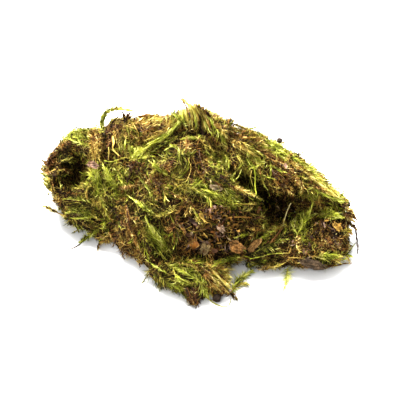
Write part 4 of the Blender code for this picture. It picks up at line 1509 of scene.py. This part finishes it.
def grow_fuzz(thatch, core, rows, shoots, tree, stems, rng):
    """Short curled leaves in patches, each of the kind and lie of the shoot it surrounds."""
    places, normals = places_to_grow(core, FUZZ_DENSITY, rows, tree, rng)
    keep = clear_of_stems(places, stems, CLEAR_REACH, rng)
    places, normals = places[keep], normals[keep]
    nearest = tree_of_points(shoots["places"])
    found = [nearest.find(place)[1:] for place in places]
    owner = np.array([index for index, distance in found])
    outward = np.minimum(np.array([distance for index, distance in found]) / FUZZ_PATCH, 1.0)
    keep = (shoots["kinds"][owner] != "dark") | (rng.random(len(places)) < DARK_SHARE)
    places, normals, owner, outward = (values[keep] for values in (places, normals, owner, outward))
    kinds = shoots["kinds"][owner]
    count = len(places)
    patches = len(shoots["places"])
    headings = square_to(shoots["headings"][owner], normals)
    edge = edge_share(places, normals)
    form = FUZZ_FORM
    lift = (rng.uniform(*form["lift"], count) + 0.6 * edge)[:, None]
    way = unit(normals * lift + headings * 0.8 + rng.normal(0, form["sway"], (count, 3)))
    into = np.minimum((way * normals).sum(axis=1) - form["least_lift"], 0)
    way = unit(way - normals * into[:, None])
    length = kind_field(kinds, "leaf") * rng.uniform(*form["length"], count)
    length = length * (1.1 - 0.3 * outward)
    bend = rng.normal(0, 1, (patches, 3))[owner] + rng.normal(0, form["bend_sway"], (count, 3))
    bend = bend - normals * 0.4
    turning = kind_field(kinds, "curl") * rng.uniform(*form["patch_turning"], patches)[owner]
    turning = turning * rng.uniform(*form["turning"], count)
    feet = places - normals * form["root"]
    leaves, sides = leaf_arcs(feet, way, bend, length, turning, LEAF_STATIONS)
    half_widths = TURF_HALF_WIDTH * rng.uniform(*form["width"], count) * (1 + 0.5 * edge)
    sides = unit(sides + rng.normal(0, form["side_sway"], (count, 3)))
    hue = kind_values(shoots["kinds"], rng, "hue")[owner] - form["browner"]
    hue = np.clip(hue + rng.normal(0, form["hue_sway"], count)[:, None], *HUE_RANGE)
    tone = kind_values(shoots["kinds"], rng, "tone")[owner]
    # painted shade: on all low leaves, towards a patch's end, under a shoot's stem and along the
    # outline
    near = np.clip(1 - stem_distances(places, stems) / SHADE_REACH, 0, 1)
    shade = FUZZ_SHADE + PATCH_SHADE * outward**2 + PLUME_SHADE * near + EDGE_SHADE * edge
    tone = uneven_tone(tone - shade[:, None], rng, form["tone_sway"])
    thatch.ribbons(leaves, half_widths[:, None] * LEAF_BREADTHS[None], sides, hue, tone)


def grow_upright(thatch, core, rows, tree, rng):
    """Short shoots that stand off a mat, most of them where it is seen edge-on."""
    places, normals = places_to_grow(core, UPRIGHT_DENSITY, rows, tree, rng)
    edge = edge_share(places, normals)
    keep = (rng.random(len(places)) < UPRIGHT_SHARE + edge) & (places[:, 2] > LOW_HEIGHT)
    places, normals, edge = places[keep], normals[keep], edge[keep]
    kinds, angles = zone_kinds(places, normals, rng, tree)
    count = len(places)
    way = normals * rng.uniform(*UPRIGHT_STANDING, count)[:, None]
    way = way + headings_of(angles, normals) * UPRIGHT_LEAN
    way = unit(way + rng.normal(0, UPRIGHT_SWAY, (count, 3)))
    length = rng.uniform(*UPRIGHT_LENGTH, count)
    bend = rng.normal(0, 1, (count, 3)) - normals
    stations = np.linspace(0, 1, PATH_POINTS)
    turning = rng.uniform(*UPRIGHT_TURNING, count)
    paths, sides = leaf_arcs(places, way, bend, length, turning, stations)
    # painted shade where the mat is seen edge-on
    darker = (EDGE_SHADE * edge)[:, None]
    grow_short_shoots(thatch, rng, paths, normals, sides, kinds, length, UPRIGHT_FORM, darker)


def grow_fibres(thatch, core, rows, tree, rng):
    """Fine brown root hairs and dead strands that cross the mats."""
    places, normals = places_to_grow(core, FIBRE_DENSITY, rows, tree, rng)
    count = len(places)
    headings = headings_of(rng.uniform(0, FULL_TURN, count), normals)
    heights = rng.uniform(*FIBRE_RISE, count)
    heights = np.where(places[:, 2] < LOW_HEIGHT, FIBRE_LOW_RISE, heights)
    lengths = rng.uniform(*FIBRE_LENGTH, count)
    paths = crawl(places, normals, headings, lengths, heights, tree, rng)
    paths = paths + rng.normal(0, FIBRE_SWAY, paths.shape)
    taper = np.linspace(*FIBRE_TAPER, PATH_POINTS)[None]
    half_widths = taper * rng.uniform(*FIBRE_HALF_WIDTH, count)[:, None]
    sides = unit(np.cross(headings, rng.normal(0, 1, (count, 3))))
    hue = rng.uniform(*FIBRE_HUE, count)
    tone = rng.uniform(*FIBRE_TONE, count)
    hues, tones = np.stack([hue, hue + 0.05], 1), np.stack([tone - 0.08, tone], 1)
    thatch.ribbons(paths, half_widths, sides, hues, tones)


def grow_plume(thatch, kind, style, route, centres, tree):
    """One full leafy shoot along a route: its stem and its leaves."""
    rng = draws_along(route)
    near = [np.array(tree.find_nearest(Vector(centre))[1]) for centre in centres]
    up = unit(np.mean(near, axis=0) + np.array([0, 0, 0.2]))
    length = np.linalg.norm(np.diff(centres, axis=0), axis=1).sum()
    form = STYLES[style]
    way = unit(centres[-1] - centres[0])
    swept = np.cross(way, unit(up)) * rng.choice([-1, 1]) * rng.uniform(0.4, 1.3)
    curl = KINDS[kind]["curl"] * form["curl"]
    spec = {
        "count": np.array([max(int(length / form["step"]), FEWEST_LEAVES)]),
        "leaf": np.array([form["leaf"] * rng.uniform(0.85, 1.15)]),
        "width": np.array([form["width"]]),
        "spread": np.array([form["open"] * rng.uniform(0.8, 1.2)]),
        "curl": np.array([curl * rng.uniform(0.8, 1.3)]),
        "flare": np.array([rng.uniform(-0.3, 1.0)]),
        "swept": (swept + np.array([0, 0, -0.1]))[None],
        "hue": kind_values([kind], rng, "hue"),
        "tone": kind_values([kind], rng, "tone") + form["painted_light"],
        "fade": 0.22,
    }
    clothe(thatch, rng, centres[None], up[None], spec, True)
    radii = np.linspace(*STEM_TAPER, len(centres))[None] * form["stem"]
    hue, tone = spec["hue"] - STEM_HUE_DROP, spec["tone"] - STEM_TONE_DROP
    thatch.tubes(centres[None], radii, hue, tone)


def bare_colours(kind, rng):
    """Hue and tone, from foot to tip, of a stem without leaves."""
    return [kind_values([kind], rng, field, BARE_DROP) for field in ("hue", "tone")]


def lay_litter(thatch, tree):
    """Small curled, torn scraps of dead leaf, bark and soil caught in the mats."""
    lengths, breadths = FLAKE_LENGTHS + 1, FLAKE_BREADTHS + 1
    u = np.linspace(-1, 1, lengths)[None, :, None]
    v = np.linspace(-1, 1, breadths)[None, None, :]
    pattern = []
    for row in range(FLAKE_LENGTHS):
        for corner in range(row * breadths, row * breadths + FLAKE_BREADTHS):
            pattern += [corner, corner + 1, corner + breadths + 1, corner + breadths]
    form = LITTER_FORM
    for middle, sizes, count, size_gain in LITTER:
        rng = draws_for(*middle, size_gain)
        turn = rng.uniform(0, FULL_TURN, count)
        reach = np.sqrt(rng.random(count))
        x = middle[0] + sizes[0] * reach * np.cos(turn)
        y = middle[1] + sizes[1] * reach * np.sin(turn)
        hits = [tree.ray_cast(Vector(EYE), Vector(sight(pixel))) for pixel in zip(x, y)]
        hits = [hit for hit in hits if hit[0] is not None]
        centres, normals = (np.array([hit[i] for hit in hits]) for i in range(2))
        count = len(hits)
        single, shape = (count, 1, 1), (count, lengths, breadths)
        ups = unit(normals + rng.normal(0, form["tilt"], (count, 3)))
        along = unit(np.cross(ups, rng.normal(0, 1, (count, 3))))
        across = np.cross(ups, along)
        half_length = size_gain * rng.uniform(*form["length"], single)
        half_length = half_length * rng.uniform(*form["stretch"], single)
        half_breadth = half_length * rng.uniform(*form["breadth"], single)
        torn = rng.uniform(*form["torn"], (count, lengths, 1)) * (1 - 0.45 * u**2)
        ragged = u * (1 + rng.normal(0, form["ragged"], (count, 1, breadths)))
        roll = rng.uniform(*form["roll"], single)
        angle = v * roll + rng.normal(0, form["crumple"], shape)
        radius = half_breadth * torn / roll
        arch = rng.uniform(*form["arch"], single) * half_length * ragged**2
        height = radius * (1 - np.cos(angle)) + arch
        offsets = (half_length * ragged, radius * np.sin(angle), height)
        points = (centres + ups * rng.uniform(*form["lift"], (count, 1)))[:, None, None]
        for axis, offset in zip((along, across, ups), offsets):
            points = points + axis[:, None, None] * offset[..., None]
        grey = rng.random(count) < GREY_SHARE
        hue = np.where(grey, rng.uniform(*GREY_HUE, count), rng.uniform(*BROWN_HUE, count))
        pale = rng.random(count) < PALE_LITTER_SHARE * size_gain
        tone = np.where(pale, rng.uniform(*PALE_TONE, count), rng.uniform(*DULL_TONE, count))
        # edges painted lighter: the scraps' pale torn edges and painted highlights on their curled
        # rims
        pale_rim_and_highlight = 0.10 * np.maximum(u**2, v**2)
        shades = tone[:, None, None] + pale_rim_and_highlight + rng.normal(0, 0.05, shape)
        hues = hue[:, None, None] + rng.normal(0, 0.02, shape)
        maps = np.clip(np.stack([hues, shades], axis=3), *HUE_RANGE)
        flat = (count, lengths * breadths)
        quads = [4] * (FLAKE_LENGTHS * FLAKE_BREADTHS)
        thatch.add(points.reshape(*flat, 3), maps.reshape(*flat, 2), pattern, quads)


class Shading:
    """A material that is built node by node."""

    def __init__(self, name, specular):
        self.material = bpy.data.materials.new(name)
        self.material.use_nodes = True
        self.tree = self.material.node_tree
        self.shader = self.tree.nodes["Principled BSDF"]
        self.feed(self.shader, {"Specular IOR Level": specular})

    def feed(self, node, inputs):
        """Set a node's inputs, or link them where they are other nodes' outputs."""
        for field, value in inputs.items():
            if isinstance(value, bpy.types.NodeSocket):
                self.tree.links.new(value, node.inputs[field])
            else:
                node.inputs[field].default_value = value

    def add(self, kind, output, inputs, **settings):
        """The output of a new node."""
        node = self.tree.nodes.new("ShaderNode" + kind)
        for field, value in settings.items():
            setattr(node, field, value)
        self.feed(node, inputs)
        return node.outputs[output]

    def ramp(self, factor, stops):
        """The colour that a ramp gives for a factor."""
        node = self.tree.nodes.new("ShaderNodeValToRGB")
        elements = node.color_ramp.elements
        while len(elements) < len(stops):
            elements.new(0.5)
        for element, (place, colour) in zip(elements, stops):
            element.position = place
            element.color = (*colour, 1)
        self.feed(node, {"Fac": factor})
        return node.outputs["Color"]

    def noise(self, scale, detail, roughness=0.5):
        """Noise that is fixed to the piece, of a scale to the metre."""
        place = self.add("TexCoord", "Object", {})
        inputs = {"Vector": place, "Scale": scale, "Detail": detail, "Roughness": roughness}
        return self.add("TexNoise", "Fac", inputs)

    def dim(self, colour, share):
        """A colour made darker or lighter."""
        inputs = {"Vector": colour, "Scale": share}
        return self.add("VectorMath", "Vector", inputs, operation="SCALE")

    def relief(self, height, strength, depth):
        """Bumps of a depth in mm."""
        inputs = {"Height": height, "Strength": strength, "Distance": depth * MM}
        self.feed(self.shader, {"Normal": self.add("Bump", "Normal", inputs)})


def moss_material():
    """Colour by hue and tone, read from the pieces' colour map, with a finely grained surface."""
    shading = Shading("moss_leaf", 0.2)
    where = shading.add("UVMap", "UV", {}, uv_map=COLOUR_MAP)
    split = shading.tree.nodes.new("ShaderNodeSeparateXYZ")
    shading.feed(split, {"Vector": where})
    hue, tone = split.outputs["X"], split.outputs["Y"]
    # low tones darken the colour: the moss's own darker matter and painted shade
    to_shade = {"Value": tone, "From Max": 0.6, "To Min": 0.02, "To Max": 1.15}
    colour = shading.dim(shading.ramp(hue, HUES), shading.add("MapRange", "Result", to_shade))
    # the palest tones mix towards the bleached colour, for bleached leaves and painted highlights
    to_pale = {"Value": tone, "From Min": 0.6, "To Max": 0.75}
    pale = shading.add("MapRange", "Result", to_pale)
    mix = shading.tree.nodes.new("ShaderNodeMix")
    mix.data_type = "RGBA"
    shading.feed(mix, {"Factor": pale, "A": colour, "B": (*BLEACHED_AND_HIGHLIGHT_COLOUR, 1)})
    to_rough = {"Value": tone, "From Max": 0.6, "To Min": 0.95, "To Max": 0.5}
    rough = shading.add("MapRange", "Result", to_rough)
    shading.feed(shading.shader, {"Base Color": mix.outputs["Result"], "Roughness": rough})
    shading.relief(shading.noise(2600, 4.0), 0.5, 0.08)
    return shading.material


def dry_material(name, colour, scale):
    """A dry plant scrap or crumb: blotched colour, dark specks, fine relief and a dull surface."""
    shading = Shading(name, 0.25)
    blotches, specks = (shading.noise(scale * fineness, 8.0, 0.65) for fineness in (0.45, 2.2))
    stops = [
        (place, [min(value * gain, 1) for value in colour])
        for place, gain in ((0.36, 0.4), (0.50, 1.0), (0.64, 1.7))
    ]
    to_dots = {"Value": specks, "From Min": 0.40, "From Max": 0.56, "To Min": 0.35}
    dots = shading.add("MapRange", "Result", to_dots)
    blotched = shading.dim(shading.ramp(blotches, stops), dots)
    rough = shading.add("MapRange", "Result", {"Value": specks, "To Min": 0.6, "To Max": 0.95})
    shading.feed(shading.shader, {"Base Color": blotched, "Roughness": rough})
    shading.relief(specks, 0.7, 0.3)
    return shading.material


def shape_scrap(bm, rng, size, curl):
    """Turn a grid from -1 to 1 into a curled, crumpled leaf scrap with a fold along its middle."""
    length, width = size
    waves = rng.uniform(0, FULL_TURN, 12)
    for vert in bm.verts:
        x, y = vert.co.x, vert.co.y
        sign = 1 if y > 0 else 0
        belly = 1.0 - 0.5 * abs(x) ** 2.5
        notch = sum(math.sin((4 + 5 * i) * x + waves[i + 3 * sign]) / (i + 1.5) for i in range(3))
        torn = 1.0 + abs(y) ** 1.5 * (0.15 * notch - 0.08)
        ragged = 1.0 + 0.16 * math.sin(5 * y + waves[6]) + 0.10 * math.sin(13 * y + waves[7])
        vein = 0.09 * width / 6 * math.cos(6 * math.pi * (x + 0.6 * abs(y)))
        waved = math.sin(5 * x + 3 * y + waves[8]) + math.sin(9 * y - 4 * x + waves[9])
        fold = -0.16 * max(0.0, 1 - abs(y) * 4)
        lift = curl * (y * y - 0.6 * x * x) + vein + 0.22 * curl * waved + fold
        vert.co = Vector((x * ragged * length / 2, y * belly * torn * width / 2, lift)) * MM


def make_scrap(name, spec, tree):
    """A curled, torn piece of dead leaf or bark, in its CAD place."""
    pixel, length, width, thickness, curl, turn, colour = spec
    bm = bmesh.new()
    bmesh.ops.create_grid(bm, x_segments=34, y_segments=18, size=1)
    shape_scrap(bm, draws_for(*pixel[:2]), (length, width), curl)
    obj = object_of(bm, name)
    thick = obj.modifiers.new("thick", "SOLIDIFY")
    thick.thickness = thickness * SCRAP_THINNESS * MM
    thick.offset = 0
    apply_modifiers(obj)
    way = sight(pixel)
    hit = tree.ray_cast(Vector(EYE), Vector(way))
    normal = Vector((0, 0, 1)) if hit[0] is None else hit[1]
    facing = (normal - Vector(way)).normalized()
    across = Vector((1, 0, 0)) - facing * facing.x
    axes = Matrix((across.normalized(), facing.cross(across).normalized(), facing)).transposed()
    spin = Matrix.Rotation(math.radians(turn), 3, "Z")
    middle = placed([pixel], tree, curl + thickness)[0] - BOX_CENTRE
    obj.data.transform(Matrix.Translation(Vector(middle) * MM) @ (axes @ spin).to_4x4())
    for vert in obj.data.vertices:
        vert.co.z = max(vert.co.z, LOWEST * MM)
    finish_piece(obj, dry_material(name, colour, SCRAP_GRAIN), frame_slot(name), name)


def make_crumb(name, pixel, radius, tree):
    """A rough crumb of dark soil, in its CAD place."""
    bm = bmesh.new()
    bmesh.ops.create_icosphere(bm, subdivisions=4, radius=1)
    waves = draws_for(*pixel[:2]).normal(0, 1, (14, 3))
    for vert in bm.verts:
        swell = sum(math.sin(3.5 * vert.co.dot(Vector(wave)) + i) for i, wave in enumerate(waves))
        vert.co *= radius * MM * (0.95 + 0.55 * (swell / len(waves)))
    centre = placed([pixel], tree, radius)[0]
    centre[2] = max(centre[2], radius * 1.15 + FLOOR_GAP)
    bmesh.ops.translate(bm, verts=bm.verts, vec=Vector((centre - BOX_CENTRE) * MM))
    material = dry_material(name, SOIL_COLOUR, SOIL_GRAIN)
    finish_piece(object_of(bm, name), material, frame_slot(name), name)


def make_floor():
    """The pale floor of the studio."""
    bpy.ops.mesh.primitive_plane_add(size=6)
    floor = bpy.context.object
    floor.name = "floor"
    shading = Shading("floor", 0.5)
    shading.feed(shading.shader, {"Base Color": (*FLOOR_COLOUR, 1), "Roughness": 0.8})
    floor.data.materials.append(shading.material)


def make_lights():
    """A white surround, a large soft light from behind and above, and a weak one in front."""
    world = bpy.data.worlds.new("studio")
    bpy.context.scene.world = world
    world.use_nodes = True
    background = world.node_tree.nodes["Background"]
    background.inputs["Color"].default_value = (1, 1, 1, 1)
    background.inputs["Strength"].default_value = SURROUND
    for name, place, size, power in LIGHTS:
        light = bpy.data.lights.new(name, "AREA")
        light.size = size
        light.energy = power
        lamp = add_object(name, light)
        lamp.location = place
        lamp.rotation_euler = (-Vector(place)).to_track_quat("-Z", "Y").to_euler()


def make_camera():
    """The photograph's view."""
    camera = bpy.data.cameras.new("camera")
    camera.sensor_width = SENSOR_WIDTH
    camera.lens = FOCAL_PIXELS / PICTURE_SIDE * SENSOR_WIDTH
    camera.clip_start = 0.01
    obj = add_object("camera", camera)
    obj.location = Vector((EYE - BOX_CENTRE) * MM)
    obj.rotation_euler = (math.pi / 2 - EYE_ELEVATION, 0, 0)
    bpy.context.scene.camera = obj
    bpy.context.scene.view_settings.view_transform = "Standard"
    bpy.context.scene.view_settings.look = "High Contrast"


def make_turf(moss, stems):
    """The mats' felt with all that grows on it."""
    cores = {name: make_core(name) for name in MATS}
    core_tree = tree_of(cores.values())
    shoots = {
        name: turf_shoots(cores[name], core_tree, stems, draws_for(i))
        for i, name in enumerate(MATS)
    }
    for number, (piece, name, top, bottom) in enumerate(TURF_PIECES):
        rng = draws_for(TURF_DRAWS + number)
        thatch = Thatch()
        core = cores[name]
        if top == 0:
            thatch.felt(core.data, rng)
        rows = seen_at(shoots[name]["places"])[:, 1]
        mine = (rows >= top) & (rows < bottom)
        here = {field: values[mine] for field, values in shoots[name].items()}
        grow_turf(thatch, here, core_tree, rng)
        grow_fuzz(thatch, core, (top, bottom), shoots[name], core_tree, stems, rng)
        grow_fibres(thatch, core, (top, bottom), core_tree, rng)
        grow_upright(thatch, core, (top, bottom), core_tree, rng)
        finish_piece(thatch.make(piece), moss, "moss_mat", name)
    for core in cores.values():
        bpy.data.objects.remove(core, do_unlink=True)


def make_hairs(moss, tree):
    """The fine strands, as one piece."""
    rng = draws_for(HAIR_DRAWS)
    hairs = Thatch()
    for half_width, kind, route in HAIRS:
        centres = smooth_route(placed(route, tree, HAIR_LIFT), HAIR_STATIONS)[None]
        radii = np.linspace(1, 0.5, HAIR_STATIONS)[None] * half_width * HAIR_GAIN
        hairs.tubes(centres, radii, *bare_colours(kind, rng))
    finish_piece(hairs.make("hairs"), moss, "stem")


def make_twig(name, radius, kind, route, moss, tree):
    """A bare stem or twig, in its CAD place."""
    rng = draws_along(route)
    centres = smooth_route(placed(route, tree, radius), TWIG_STATIONS)
    centres[1:-1] += rng.normal(0, radius * 0.15, (TWIG_STATIONS - 2, 3))
    ripple = 1 + 0.15 * np.sin(np.arange(TWIG_STATIONS) * 2.1)
    radii = (np.linspace(1.15, 0.55, TWIG_STATIONS) * radius * ripple)[None]
    thatch = Thatch()
    thatch.tubes(centres[None], radii, *bare_colours(kind, rng))
    finish_piece(thatch.make(name + "_bark"), moss, frame_slot(name), name)


def main():
    make_camera()
    make_lights()
    make_floor()
    moss = moss_material()
    tree = tree_of([frame["nodes"][name] for name in MATS])
    lies = [lie_of(route, tree, reach) for name, reach, kind, style, route in SHOOTS]
    plumes = {
        region: [lie_of(route, tree, PLUME_LIFT) for kind, style, route in rows]
        for region, rows in PLUMES.items()
    }
    stems = np.concatenate(lies + [centres for rows in plumes.values() for centres in rows])
    make_turf(moss, tree_of_points(stems))

    for (name, _, kind, style, route), centres in zip(SHOOTS, lies):
        thatch = Thatch()
        grow_plume(thatch, kind, style, route, centres, tree)
        finish_piece(thatch.make(name + "_leaves"), moss, "moss_shoot", name)
    for region, rows in PLUMES.items():
        thatch = Thatch()
        for (kind, style, route), centres in zip(rows, plumes[region]):
            grow_plume(thatch, kind, style, route, centres, tree)
        finish_piece(thatch.make(f"plumes_{region}"), moss, "moss_shoot")
    make_hairs(moss, tree)
    litter = Thatch()
    lay_litter(litter, tree)
    finish_piece(litter.make("litter"), moss, "dead_leaf")
    for name, radius, kind, route in TWIGS:
        make_twig(name, radius, kind, route, moss, tree)
    for name, spec in SCRAPS.items():
        make_scrap(name, spec, tree)
    for name, (pixel, radius) in CRUMBS.items():
        make_crumb(name, pixel, radius, tree)


main()
